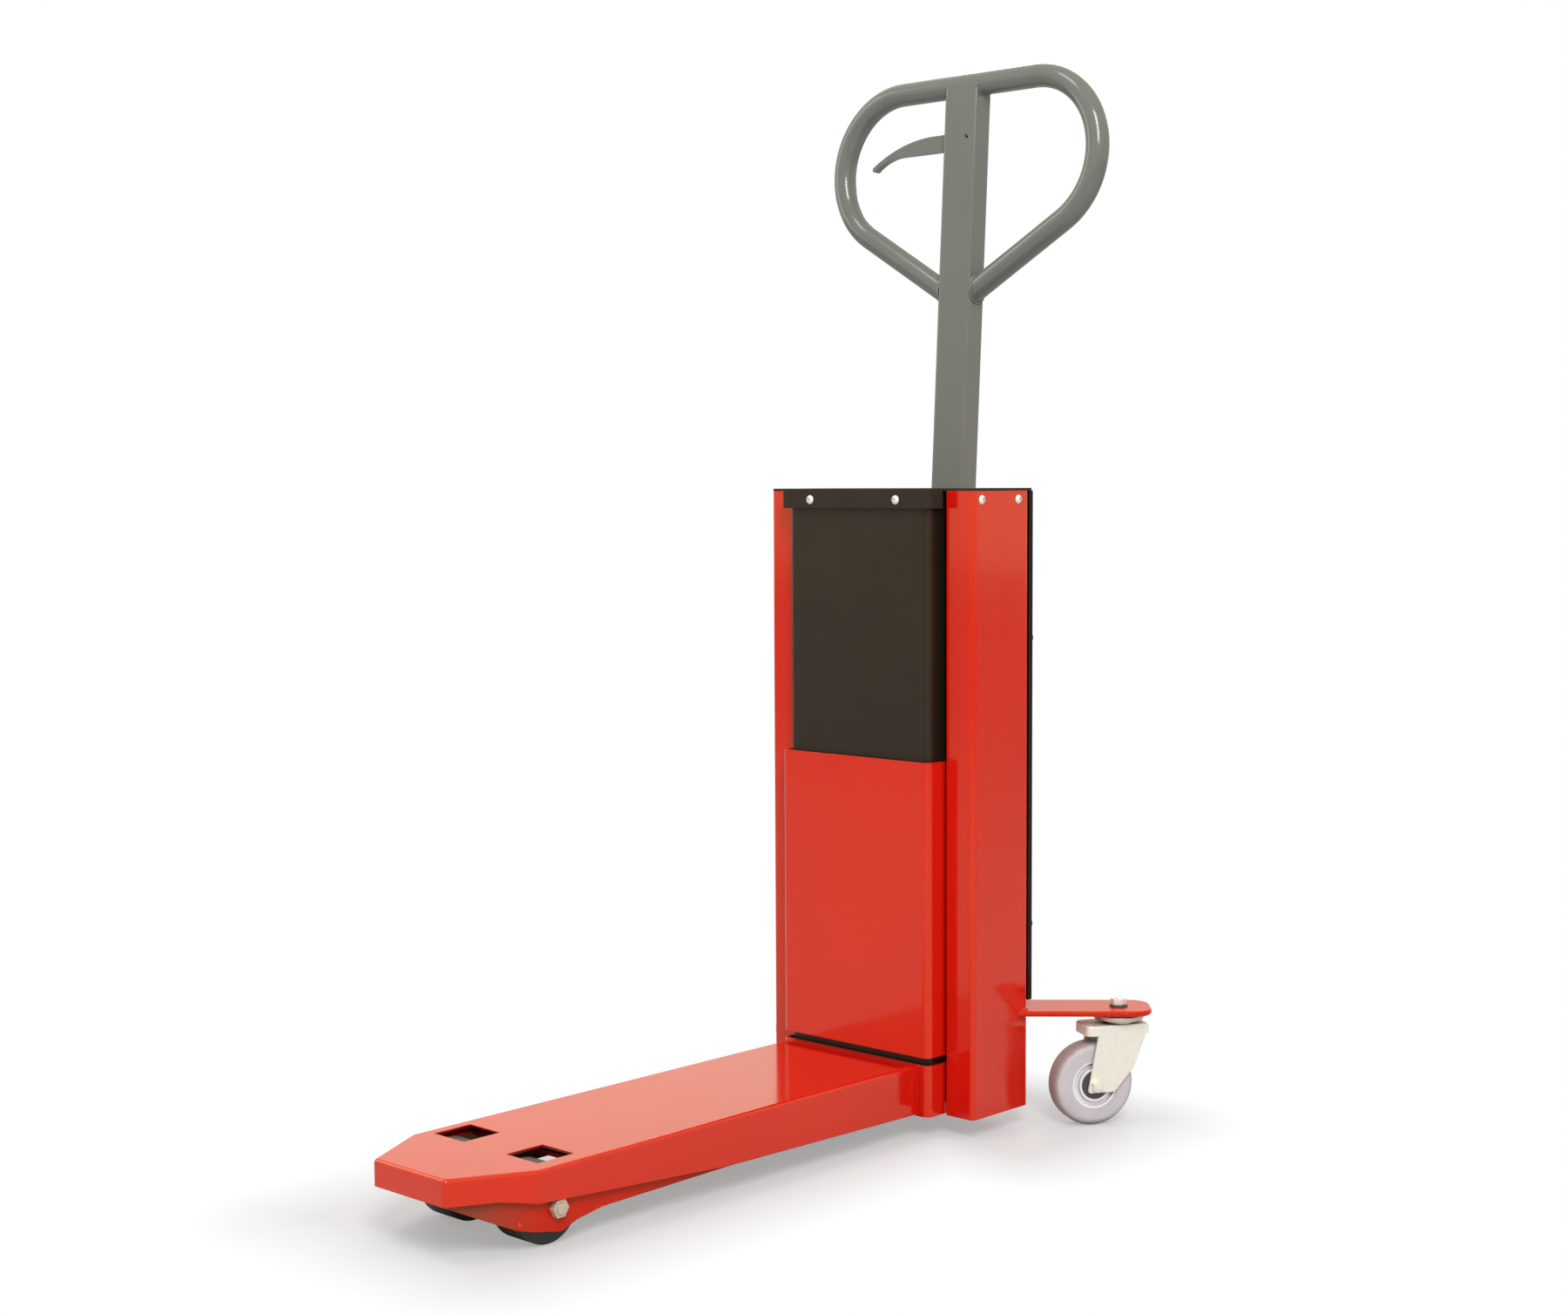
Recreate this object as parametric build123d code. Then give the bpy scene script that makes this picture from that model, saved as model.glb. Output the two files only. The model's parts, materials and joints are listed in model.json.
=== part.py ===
from build123d import *
import math
import os

# Quarter pallet truck: a narrow single fork that nests over a roller leg and is lifted up a
# sheet-metal column by a hand pump, with a tiller behind the column and two swivel castors.
# Millimetres, +Z up, the fork points to -Y. The truck is drawn with Y = 0 on the front face of
# the column and moved on saving, so that the origin is on the floor under its middle.

# Column: folded sheet, open at the front between two inturned flanges
COLUMN_WIDTH = 318.0
COLUMN_DEPTH = 104.0
COLUMN_BOTTOM = 24.0
COLUMN_TOP = 754.0
COLUMN_WALL = 4.0
COLUMN_BEND = 6.0
FLANGE_WIDTH = 40.0
FRONT_GAP = 3.0
BASE_PLATE = 8.0
TONGUE_GAP = 4.0
SERVICE_MARGIN = 59.0
SERVICE_BOTTOM = 280.0
SERVICE_DROP = 54.0

# Carriage: panel and heel share one U-shaped plan, which slides outside the front cover
CARRIAGE_FRONT = 30.0
CARRIAGE_BACK = 40.0
CARRIAGE_SHEET = 4.0
CARRIAGE_CORNER = 9.0
PANEL_GAP = 9.0
PANEL_TOP = 441.0
SIDE_PLATE = 10.0
SIDE_PLATE_FRONT = 14.0
SIDE_PLATE_BACK = 60.0
SIDE_PLATE_BOTTOM = 40.0
CROSSHEAD_RISE = 24.0
CROSSHEAD_HEIGHT = 25.0
WEB_SHEET = 5.0
WEB_BOTTOM = 100.0
WEB_DROP = 41.0
PAD_HEIGHT = 40.0
PAD_PLAY = 0.4
PAD_EAR = 14.0
PAD_EAR_REACH = 34.0
PAD_INSET = 10.0

# Covers
COVER_GAP = 2.5
COVER_FRONT = 22.0
COVER_BACK = 10.0
COVER_SHEET = 3.0
COVER_CORNER = 9.0
LID_SHEET = 3.0
SKIRT_DROP = 20.0
SKIRT_SHEET = 2.0
LID_FLANGE = 4.0
REAR_COVER_DEPTH = 8.0
REAR_COVER_SHEET = 2.0
REAR_COVER_BOTTOM = 150.0
REAR_NOTCH_WIDTH = 120.0
REAR_NOTCH_TOP = 250.0

# Fork
HEEL_STEP = 15.5
FORK_SHEET = 4.0
FORK_BEND = 5.0
TIP_REACH = 697.0
TIP_INSET = 44.5
TIP_TAPER = 84.0
TIP_DEPTH = 28.0
SHOULDER_SLANT = 34.0
SHOULDER_RISE = 12.0
MIDDLE_SETBACK = 348.0
MIDDLE_DEPTH = 52.0
HEEL_DEPTH = 58.0
HEEL_BLOCK_DEPTH = 60.5
WINDOW_SIZE = 49.0
WINDOW_SHIFT = -3.0
WINDOW_SETBACK = 10.5
WINDOW_LIP = 1.5
WINDOW_UNDERCUT = 45.0

# Roller leg under the fork
LEG_GAP = 4.5
LEG_SHEET = 5.0
LEG_HEADROOM = 5.0
LEG_REAR_GAP = 4.0
LEG_BELLY = 27.5
LEG_BELLY_REAR = 30.0
BELLY_REAR_SETBACK = 250.0
LEG_LOBE = 14.3
LOBE_AHEAD = 45.0
LOBE_FRONT = 24.8
LOBE_BEHIND = 6.0
LOBE_SLOPE = 27.0
LOBE_SHOULDER = 22.0
LOBE_RISE = 62.0
LOBE_ROUND = 12.0
LEG_BROW = 33.0
BROW_AHEAD = 63.0
TOP_PLATE_BACK = 12.0

# Load rollers
ROLLER_RADIUS = 40.5
ROLLER_WIDTH = 46.0
ROLLER_SIDE_GAP = 5.8
ROLLER_HEADROOM = 1.0
ROLLER_SETBACK = 115.0
ROLLER_EDGE = 4.0
ROLLER_ROOM = 4.0
ROLLER_BUSH_RADIUS = 16.0
AXLE_RADIUS = 10.0
AXLE_END_RADIUS = 6.0
AXLE_NUT_FLATS = 18.0
AXLE_NUT_HEIGHT = 7.0
AXLE_STUB = 2.0
NUT_TURN = 30.0

# Castors
ARM_SPREAD = 70.0
ARM_SETBACK = 85.0
ARM_ANGLE = 41.5
ARM_WIDTH = 67.0
ARM_END = 38.0
ARM_CORNER = 22.0
ARM_SHEET = 6.5
ARM_HEADROOM = 33.0
RIGHT_CASTOR_TURN = -31.0
LEFT_CASTOR_TURN = -14.0
CASTOR_RADIUS = 50.0
CASTOR_WIDTH = 32.0
CASTOR_TRAIL = 36.0
TYRE_SHOULDER = 10.0
HUB_RADIUS = 29.0
HUB_RIM = 3.0
HUB_RECESS = 4.0
HUB_BOSS_RADIUS = 20.0
BUSH_RADIUS = 8.0
CASTOR_AXLE_RADIUS = 4.0
CROWN_NOSE = 48.5
CROWN_NOSE_CORNER = 8.0
CROWN_SHEET = 3.0
CROWN_DROP = 9.0
FORK_ROOM = 1.5
FORK_BROW = 4.0
FORK_TOE = 11.0
FORK_SOLE = 9.0
FORK_SOLE_BACK = 23.0
FORK_KNEE_BACK = 47.0
FORK_KNEE_RISE = 18.5
FORK_BACK = 30.0
FORK_CORNER = 3.0
RACE_RADIUS = 30.0
RACE_NECK = 20.0
RACE_RIM = 5.5
RACE_RIM_DROP = 2.0
RACE_HEIGHT = 12.0
KINGPIN_RADIUS = 5.0
KINGPIN_HEAD_FLATS = 16.0
KINGPIN_HEAD = 7.0
KINGPIN_NUT = 9.0
KINGPIN_FLANGE_RADIUS = 11.0
KINGPIN_FLANGE = 2.0
CASTOR_NUT_FLATS = 13.0
CASTOR_NUT = 6.0

# Tiller: upright rectangular tube with a closed loop handle, hinged low behind the column
TILLER_LEAN = 3.34
PIVOT_SETBACK = 20.0
PIVOT_HEIGHT = 165.0
TUBE_WIDTH = 50.0
TUBE_DEPTH = 30.0
TUBE_WALL = 3.0
TUBE_BEND = 4.0
TUBE_START = 32.0
LOOP_HEIGHT = 1085.0
LOOP_RADIUS = 14.0
LOOP_WALL = 2.5
LOOP_STRAIGHT = 208.0
LOOP_CORNER = 94.0
LOOP_DROP = 250.0
CHEEK_SHEET = 8.0
CHEEK_TOP = 95.0
CHEEK_HALF = 13.0
CHEEK_PIVOT_RADIUS = 16.0
CHEEK_END_RADIUS = 12.0
CAM_ARM = 42.0
CAM_RADIUS = 9.0
PIVOT_PIN_RADIUS = 7.0
PIVOT_PIN_HEAD = 11.0
PIVOT_PIN_HEAD_HEIGHT = 5.0
EAR_SHEET = 8.0
EAR_GAP = 2.0
EAR_RADIUS = 15.0
BRACKET_SHEET = 6.0
BRACKET_MARGIN = 11.0
BRACKET_BOTTOM = 82.0
BRACKET_TOP = 232.0
FOOT_OPENING_BOTTOM = 95.0
FOOT_OPENING_TOP = 200.0

# Release lever and its pull rod
LEVER_PIN_SIDE = 11.5
LEVER_PIN_DROP = 65.0
LEVER_PIN_RADIUS = 3.0
LEVER_PIN_BORE = 1.9
LEVER_PIN_RECESS = 1.5
LEVER_SHEET = 9.0
LEVER_BOSS = 9.0
LEVER_ROOT_REACH = 50.0
LEVER_ROOT_TOP = 7.5
LEVER_ROOT_BOTTOM = 12.8
LEVER_BEND_REACH = 123.0
LEVER_BEND_DROP = 4.6
LEVER_NECK_REACH = 112.0
LEVER_TIP_REACH = 156.0
LEVER_TIP_DROP = 25.0
LEVER_TIP_RADIUS = 3.2
LEVER_TIP_ANGLE = 35.0
LEVER_TURN = 18.0
ROD_SIDE = -9.0
ROD_RADIUS = 3.0
ROD_EYE_RADIUS = 13.0
ROD_EYE_BORE = 9.0
ROD_EYE_SHEET = 7.0
ROD_FORK_SHEET = 3.0
ROD_FORK_HALF = 5.0
ROD_FORK_DROP = 20.0
ROD_PIN_RADIUS = 2.0
ROD_PIN_ROOM = 1.5

# Hydraulic pump, tank and lift cylinder inside the column
PUMP_WIDTH = 80.0
PUMP_FRONT = 24.0
PUMP_BACK = 50.0
PUMP_SHELF = 152.0
PUMP_TOP = 165.0
CYLINDER_BACK = 56.0
CYLINDER_RADIUS = 26.0
CYLINDER_BORE = 20.0
CYLINDER_FLOOR = 8.0
RAM_RADIUS = 17.5
RAM_START = 10.0
GLAND_RADIUS = 29.0
GLAND_HEIGHT = 12.0
RAM_SHOWING = 5.0
PLUNGER_DROP = 35.0
PLUNGER_RADIUS = 8.0
PLUNGER_HEAD_RADIUS = 20.0
PLUNGER_HEAD = 6.0
PLUNGER_PLAY = 1.8
PLUNGER_GRIP = 9.0
PLUNGER_STROKE = 29.0
BARREL_RADIUS = 14.0
BARREL_LENGTH = 16.0
SPRING_RADIUS = 17.0
SPRING_WIRE = 1.5
SPRING_TURNS = 6
TANK_GAP = 3.0
TANK_FRONT = 26.0
TANK_BACK = 84.0
TANK_BOTTOM = 60.0
TANK_TOP = 260.0
TANK_CORNER = 8.0
TANK_PLUG_RADIUS = 10.0
TANK_PLUG_HEIGHT = 14.0
VALVE_FRONT = 84.0
VALVE_BACK = 98.0
VALVE_HALF = 12.0
VALVE_LUG_RADIUS = 7.0
VALVE_PIVOT_RISE = 16.0
VALVE_PIN_RADIUS = 3.0
VALVE_ARM_SHEET = 9.0
VALVE_ARM_RADIUS = 6.0

# Fasteners and fits
SOCKET_SHARE = 0.8
SOCKET_FLOOR = 0.4
SCREW_RADIUS = 3.0
SCREW_HEAD_RADIUS = 5.5
SCREW_HEAD = 3.5
LID_SCREW_INSET = 49.0
LID_SCREW_DROP = 10.0
WALL_SCREW_BACK = (15.0, 83.0)
REAR_SCREW_INSET = 9.0
REAR_SCREW_HEIGHTS = (240.0, 581.0)
REAR_SCREW_RADIUS = 4.0
REAR_SCREW_HEAD_RADIUS = 7.5
REAR_SCREW_HEAD = 7.0
REAR_BOSS_RADIUS = 8.0
CARRIAGE_BOLT_BACK = 27.0
HEEL_BOLT_DROP = 26.0
PANEL_BOLT_RISE = 55.0
PANEL_BOLT_DROP = 21.0
CARRIAGE_BOLT_RADIUS = 4.0
CARRIAGE_BOLT_HEAD_RADIUS = 7.0
CARRIAGE_BOLT_HEAD = 4.0
BRACKET_BOLT_RADIUS = 4.0
BRACKET_BOLT_FLATS = 13.0
BRACKET_BOLT_HEAD = 5.5
BRACKET_BOLT_INSET = 12.0
RUNNING_FIT = 0.05
HOLE_FIT = 0.1
END_PLAY = 0.5
EDGE_BREAK = 1.5
CUT = 1.0

# Widths, heights and places that follow from the dimensions above
WALL_X = COLUMN_WIDTH / 2
INNER_X = WALL_X - COLUMN_WALL
REAR_INNER_Y = COLUMN_DEPTH - COLUMN_WALL
CARRIAGE_X = WALL_X - FLANGE_WIDTH - FRONT_GAP
PLATE_X = CARRIAGE_X - CARRIAGE_SHEET
PLATE_INNER_X = PLATE_X - SIDE_PLATE
COVER_X = PLATE_X - COVER_GAP
FORK_X = CARRIAGE_X - HEEL_STEP
FORK_UNDERSIDE = 2 * ROLLER_RADIUS + ROLLER_HEADROOM
FORK_TOP = FORK_UNDERSIDE + FORK_SHEET
PANEL_BOTTOM = FORK_TOP + PANEL_GAP
CROSSHEAD_BOTTOM = PANEL_TOP + CROSSHEAD_RISE
SIDE_PLATE_TOP = CROSSHEAD_BOTTOM + CROSSHEAD_HEIGHT
TIP_Y = -TIP_REACH
SHOULDER_Y = TIP_Y + TIP_TAPER
MIDDLE_Y = TIP_Y + MIDDLE_SETBACK
ROLLER_Y = TIP_Y + ROLLER_SETBACK
WINDOW_Y = ROLLER_Y + WINDOW_SETBACK
LEG_INSET = FORK_SHEET + LEG_GAP
LEG_X = FORK_X - LEG_INSET
LEG_INNER_X = LEG_X - LEG_SHEET
LEG_TOP = FORK_UNDERSIDE - LEG_HEADROOM
LEG_BACK = REAR_INNER_Y - LEG_REAR_GAP
ROLLER_X = LEG_INNER_X - ROLLER_SIDE_GAP - ROLLER_WIDTH / 2
BASE_TOP = COLUMN_BOTTOM + BASE_PLATE
KINGPIN_SIDE = WALL_X + ARM_SPREAD
KINGPIN_BACK = COLUMN_DEPTH + ARM_SETBACK
ARM_BOTTOM = 2 * CASTOR_RADIUS + ARM_HEADROOM
ARM_TOP = ARM_BOTTOM + ARM_SHEET
CROWN_TOP = ARM_BOTTOM - RACE_HEIGHT
CYLINDER_TOP = CROSSHEAD_BOTTOM - RAM_SHOWING - GLAND_HEIGHT
TANK_X = PUMP_WIDTH / 2
TANK_WIDTH = LEG_INNER_X - TANK_GAP - TANK_X
PIVOT_BACK = COLUMN_DEPTH + PIVOT_SETBACK
LOOP_FOOT = LOOP_HEIGHT - LOOP_DROP
LEVER_PIN_HEIGHT = LOOP_HEIGHT - LEVER_PIN_DROP
CHEEK_X = TUBE_WIDTH / 2 + CHEEK_SHEET
EAR_X = CHEEK_X + EAR_GAP
FOOT_OPENING_X = EAR_X - END_PLAY
PLUNGER_HEIGHT = PIVOT_HEIGHT - PLUNGER_DROP
CAM_Y = PIVOT_BACK - CAM_ARM * math.sin(math.radians(TILLER_LEAN))
PLUNGER_BACK = CAM_Y - CAM_RADIUS - PLUNGER_PLAY
ARM_ROUND_ALONG = (ARM_END - ARM_CORNER) * math.sin(math.radians(ARM_ANGLE))
ARM_ROUND_ACROSS = (ARM_WIDTH / 2 - ARM_CORNER) * math.cos(math.radians(ARM_ANGLE))
ARM_BACK = KINGPIN_BACK + ARM_ROUND_ALONG + ARM_ROUND_ACROSS + ARM_CORNER
LID_SCREW_X = CARRIAGE_X - LID_SCREW_INSET
LID_SCREW_HEIGHT = COLUMN_TOP - LID_SCREW_DROP
LENGTH_CENTRE = (ARM_BACK - TIP_REACH) / 2


def block(x0, x1, y0, y1, z0, z1):
    """A box between two opposite corners."""
    return Pos((x0 + x1) / 2, (y0 + y1) / 2, (z0 + z1) / 2) * Box(x1 - x0, y1 - y0, z1 - z0)


def bar_x(radius, x0, x1, y, z):
    return Pos((x0 + x1) / 2, y, z) * Rot(0, 90, 0) * Cylinder(radius, abs(x1 - x0))


def bar_y(radius, y0, y1, x, z):
    return Pos(x, (y0 + y1) / 2, z) * Rot(90, 0, 0) * Cylinder(radius, abs(y1 - y0))


def bar_z(radius, z0, z1, x=0.0, y=0.0):
    return Pos(x, y, (z0 + z1) / 2) * Cylinder(radius, abs(z1 - z0))


def hexagon(flats, height):
    """A hexagon prism standing on the XY plane."""
    return extrude(RegularPolygon(flats / 2, 6, major_radius=False), height)


def other_side(shape):
    return mirror(shape, about=Plane.YZ)


def both_sides(shape):
    return [shape, other_side(shape)]


def side_profile(points):
    """A face drawn in the YZ plane from (y, z) points."""
    return Plane.YZ * make_face(Polyline(*points, close=True))


def through_x(face, half_width):
    return extrude(face, half_width, both=True)


def to_tiller(shape):
    """Moves a piece from the tiller's own frame, pivot at the origin, to its leaning place."""
    return Pos(0, PIVOT_BACK, PIVOT_HEIGHT) * Rot(-TILLER_LEAN, 0, 0) * shape


def to_castor(shape, side):
    """Moves a piece from the castor's own frame, kingpin on the Z axis, to its place."""
    turn = Rot(0, 0, RIGHT_CASTOR_TURN) if side > 0 else Rot(0, 0, LEFT_CASTOR_TURN)
    return Pos(side * KINGPIN_SIDE, KINGPIN_BACK, 0) * turn * shape


def save(node, *shapes):
    solids = [solid for shape in shapes for solid in shape.solids()]
    whole = solids[0] if len(solids) == 1 else Compound(solids)
    export_step(Pos(0, -LENGTH_CENTRE, 0) * whole, f"parts/{node}.step")


def u_plan(half_width, front, back, corner):
    """Plan of a U whose closed end faces the fork tip, as a filled face."""
    face = Pos(0, (back - front) / 2) * Rectangle(2 * half_width, front + back)
    return fillet(face.vertices().group_by(Axis.Y)[0], corner)


def u_sheet(half_width, front, back, corner, sheet, z0, z1):
    outer = u_plan(half_width, front, back, corner)
    inner = u_plan(half_width - sheet, front - sheet, back + CUT, corner - sheet)
    return Pos(0, 0, z0) * extrude(outer - inner, z1 - z0)


def fork_plan(inset, back):
    """Plan of the fork with its tapered tip, drawn in from the outside by inset."""
    tip = FORK_X - TIP_INSET
    y = back + inset
    left = [(-FORK_X, y), (-FORK_X, SHOULDER_Y), (-tip, TIP_Y)]
    right = [(tip, TIP_Y), (FORK_X, SHOULDER_Y), (FORK_X, y)]
    face = make_face(Polyline(*left, *right, close=True))
    return offset(face, -inset, kind=Kind.INTERSECTION) if inset else face


# Fixed sheet-metal pieces
def column_frame():
    middle = Pos(0, COLUMN_DEPTH / 2)
    section = middle * RectangleRounded(COLUMN_WIDTH, COLUMN_DEPTH, COLUMN_BEND)
    section -= middle * RectangleRounded(
        2 * INNER_X, COLUMN_DEPTH - 2 * COLUMN_WALL, COLUMN_BEND - COLUMN_WALL
    )
    section -= Rectangle(COLUMN_WIDTH - 2 * FLANGE_WIDTH, 3 * COLUMN_WALL)
    column = Pos(0, 0, COLUMN_BOTTOM) * extrude(section, COLUMN_TOP - COLUMN_BOTTOM)
    rear = (REAR_INNER_Y - CUT, COLUMN_DEPTH + CUT)
    column -= block(-FOOT_OPENING_X, FOOT_OPENING_X, *rear, FOOT_OPENING_BOTTOM, FOOT_OPENING_TOP)
    service = WALL_X - SERVICE_MARGIN
    column -= block(-service, service, *rear, SERVICE_BOTTOM, COLUMN_TOP - SERVICE_DROP)
    for x, z in rear_screw_places():
        column -= bar_y(REAR_SCREW_RADIUS + HOLE_FIT, *rear, x, z)
    for x, z in bracket_bolt_places():
        column -= bar_y(BRACKET_BOLT_RADIUS + HOLE_FIT, *rear, x, z)
    for y in WALL_SCREW_BACK:
        column -= bar_x(SCREW_RADIUS + HOLE_FIT, -2 * WALL_X, 2 * WALL_X, y, LID_SCREW_HEIGHT)
    return column


def base_plate():
    front_half = PLATE_INNER_X - TONGUE_GAP
    plate = block(-INNER_X, INNER_X, CARRIAGE_BACK + COLUMN_WALL, REAR_INNER_Y, COLUMN_BOTTOM, BASE_TOP)
    plate = fillet(plate.edges().filter_by(Axis.Z).group_by(Axis.Y)[-1], COLUMN_BEND - COLUMN_WALL)
    return plate + block(
        -front_half, front_half, COLUMN_WALL, CARRIAGE_BACK + 2 * COLUMN_WALL, COLUMN_BOTTOM, BASE_TOP
    )


def leg_frame():
    """Folded leg: side cheeks that follow the fork's plan, a top plate and an open roller bay."""
    bottom = LEG_LOBE - CUT
    ring = fork_plan(LEG_INSET, LEG_BACK) - fork_plan(LEG_INSET + LEG_SHEET, LEG_BACK + CUT)
    leg = Pos(0, 0, bottom) * extrude(ring, LEG_TOP - bottom)
    inside = Pos(0, 0, LEG_TOP - LEG_SHEET) * extrude(fork_plan(LEG_INSET, TOP_PLATE_BACK), LEG_SHEET)
    bay = ROLLER_RADIUS + ROLLER_ROOM
    inside -= block(
        -LEG_INNER_X, LEG_INNER_X, ROLLER_Y - bay, ROLLER_Y + bay, 0, FORK_TOP
    )
    leg += inside
    under = [
        (TIP_Y, FORK_TOP - TIP_DEPTH),
        (ROLLER_Y - BROW_AHEAD, LEG_BROW),
        (ROLLER_Y - LOBE_AHEAD, LOBE_FRONT),
        (ROLLER_Y + LOBE_BEHIND, LEG_LOBE),
        (ROLLER_Y + LOBE_SLOPE, LOBE_SHOULDER),
        (ROLLER_Y + LOBE_RISE, LEG_BELLY),
        (ROLLER_Y + BELLY_REAR_SETBACK, LEG_BELLY_REAR),
        (COLUMN_WALL, COLUMN_BOTTOM),
        (COLUMN_WALL, BASE_TOP),
        (LEG_BACK + CUT, BASE_TOP),
        (LEG_BACK + CUT, 0),
        (TIP_Y, 0),
    ]
    belly = make_face(Polyline(*under, close=True))
    bends = [
        corner for corner in belly.vertices() if TIP_Y < corner.X < -CARRIAGE_FRONT and corner.Y > 0
    ]
    leg -= through_x(Plane.YZ * fillet(bends, LOBE_ROUND), 2 * LEG_X)
    leg -= bar_x(AXLE_END_RADIUS + RUNNING_FIT, -2 * LEG_X, 2 * LEG_X, ROLLER_Y, ROLLER_RADIUS)
    return leg


def castor_arm(side):
    """Flat arm with a rounded end, notched to fit the rear corner of the column."""
    reach = math.hypot(KINGPIN_SIDE, KINGPIN_BACK)
    strip = Pos((ARM_END - reach) / 2, 0) * Rectangle(reach + ARM_END, ARM_WIDTH)
    strip = fillet(strip.vertices().group_by(Axis.X)[-1], ARM_CORNER)
    plan = Pos(KINGPIN_SIDE, KINGPIN_BACK) * Rot(0, 0, ARM_ANGLE) * strip
    plan -= Pos(0, COLUMN_DEPTH / 2) * RectangleRounded(COLUMN_WIDTH, COLUMN_DEPTH, COLUMN_BEND)
    plan -= Pos(0, -COLUMN_DEPTH) * Rectangle(2 * reach, 2 * COLUMN_DEPTH)
    plan = plan.faces().sort_by(Axis.X)[-1]
    arm = Pos(0, 0, ARM_BOTTOM) * extrude(plan, ARM_SHEET)
    arm = chamfer(arm.edges().filter_by(GeomType.CIRCLE).group_by(SortBy.RADIUS)[-1], EDGE_BREAK)
    arm -= bar_z(KINGPIN_RADIUS + RUNNING_FIT, ARM_BOTTOM - CUT, ARM_TOP + CUT, KINGPIN_SIDE, KINGPIN_BACK)
    return arm if side > 0 else other_side(arm)


# Covers
def front_cover():
    cover = u_sheet(COVER_X, COVER_FRONT, COVER_BACK, COVER_CORNER, COVER_SHEET, LEG_TOP, COLUMN_TOP)
    band = u_plan(COVER_X, CARRIAGE_FRONT - SKIRT_SHEET, -COVER_FRONT + COVER_SHEET, COVER_CORNER)
    cover += Pos(0, 0, COLUMN_TOP - SKIRT_DROP) * extrude(band, SKIRT_DROP)
    for x in (-LID_SCREW_X, LID_SCREW_X):
        cover -= bar_y(SCREW_RADIUS + HOLE_FIT, -CARRIAGE_FRONT, 0, x, LID_SCREW_HEIGHT)
    return cover


def top_lid():
    """Flat lid with a skirt round the front cover and two flanges inside the column walls."""
    depth = COLUMN_DEPTH + REAR_COVER_DEPTH
    plan = Pos(0, depth / 2) * RectangleRounded(COLUMN_WIDTH, depth, COLUMN_BEND)
    plan += u_plan(CARRIAGE_X, CARRIAGE_FRONT, COLUMN_DEPTH / 2, CARRIAGE_CORNER)
    lid = Pos(0, 0, COLUMN_TOP) * extrude(plan, LID_SHEET)
    lid += u_sheet(
        CARRIAGE_X, CARRIAGE_FRONT, -FRONT_GAP, CARRIAGE_CORNER, SKIRT_SHEET,
        COLUMN_TOP - SKIRT_DROP, COLUMN_TOP,
    )
    y0, y1 = COLUMN_BEND, COLUMN_DEPTH - COLUMN_BEND
    flange = block(INNER_X - LID_FLANGE, INNER_X, y0, y1, COLUMN_TOP - SKIRT_DROP, COLUMN_TOP)
    for y in WALL_SCREW_BACK:
        flange -= bar_x(SCREW_RADIUS + HOLE_FIT, 0, WALL_X, y, LID_SCREW_HEIGHT)
    lid += both_sides(flange)
    for side in (-1, 1):
        lid -= bar_y(
            SCREW_RADIUS + HOLE_FIT, -CARRIAGE_FRONT - CUT, -COVER_FRONT,
            side * LID_SCREW_X, LID_SCREW_HEIGHT,
        )
    return lid


def rear_screw_places():
    x = WALL_X - REAR_SCREW_INSET
    return [(side * x, z) for side in (-1, 1) for z in REAR_SCREW_HEIGHTS]


def rear_cover():
    """Shallow pan over the back of the column, notched round the tiller bracket."""
    height = COLUMN_TOP - REAR_COVER_BOTTOM
    face = Pos(0, REAR_COVER_BOTTOM + height / 2) * Rectangle(COLUMN_WIDTH, height)
    notch = REAR_NOTCH_TOP - REAR_COVER_BOTTOM
    face -= Pos(0, REAR_COVER_BOTTOM + notch / 2) * Rectangle(REAR_NOTCH_WIDTH, notch)
    stand = Plane(origin=(0, COLUMN_DEPTH, 0), x_dir=(1, 0, 0), z_dir=(0, -1, 0))
    pan = extrude(stand * face, -REAR_COVER_DEPTH)
    pan -= extrude(stand * offset(face, -REAR_COVER_SHEET), -(REAR_COVER_DEPTH - REAR_COVER_SHEET))
    upright = pan.edges().group_by(Axis.Y)[-1].filter_by(Axis.Z)
    pan = fillet(upright.group_by(Axis.X)[0] + upright.group_by(Axis.X)[-1], REAR_COVER_SHEET)
    back = COLUMN_DEPTH + REAR_COVER_DEPTH
    for x, z in rear_screw_places():
        pan += bar_y(REAR_BOSS_RADIUS, COLUMN_DEPTH, back - REAR_COVER_SHEET, x, z)
        pan -= bar_y(REAR_SCREW_RADIUS + HOLE_FIT, COLUMN_DEPTH - CUT, back + CUT, x, z)
    return pan


def dome_screw(shank_radius, shank, head_radius, head):
    """A dome-head socket screw along +Z: the head stands above the XY plane, the shank below it."""
    ball = (head_radius**2 + head**2) / (2 * head)
    dome = Pos(0, 0, head - ball) * Sphere(ball)
    dome &= Pos(0, 0, head / 2) * Box(2 * head_radius, 2 * head_radius, head)
    dome -= Pos(0, 0, head * SOCKET_FLOOR) * hexagon(head_radius * SOCKET_SHARE, head)
    return dome + bar_z(shank_radius, -shank, 0)


def lid_screws():
    shank = CARRIAGE_FRONT - COVER_FRONT
    front = dome_screw(SCREW_RADIUS, shank, SCREW_HEAD_RADIUS, SCREW_HEAD)
    screws = both_sides(Pos(LID_SCREW_X, -CARRIAGE_FRONT, LID_SCREW_HEIGHT) * Rot(90, 0, 0) * front)
    wall = dome_screw(SCREW_RADIUS, COLUMN_WALL + LID_FLANGE, SCREW_HEAD_RADIUS, SCREW_HEAD)
    for y in WALL_SCREW_BACK:
        screws += both_sides(Pos(WALL_X, y, LID_SCREW_HEIGHT) * Rot(0, 90, 0) * wall)
    return screws


def rear_cover_screws():
    back = COLUMN_DEPTH + REAR_COVER_DEPTH
    shank = REAR_COVER_DEPTH + COLUMN_WALL
    screw = dome_screw(REAR_SCREW_RADIUS, shank, REAR_SCREW_HEAD_RADIUS, REAR_SCREW_HEAD)
    return [Pos(x, back, z) * Rot(-90, 0, 0) * screw for x, z in rear_screw_places()]


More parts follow.
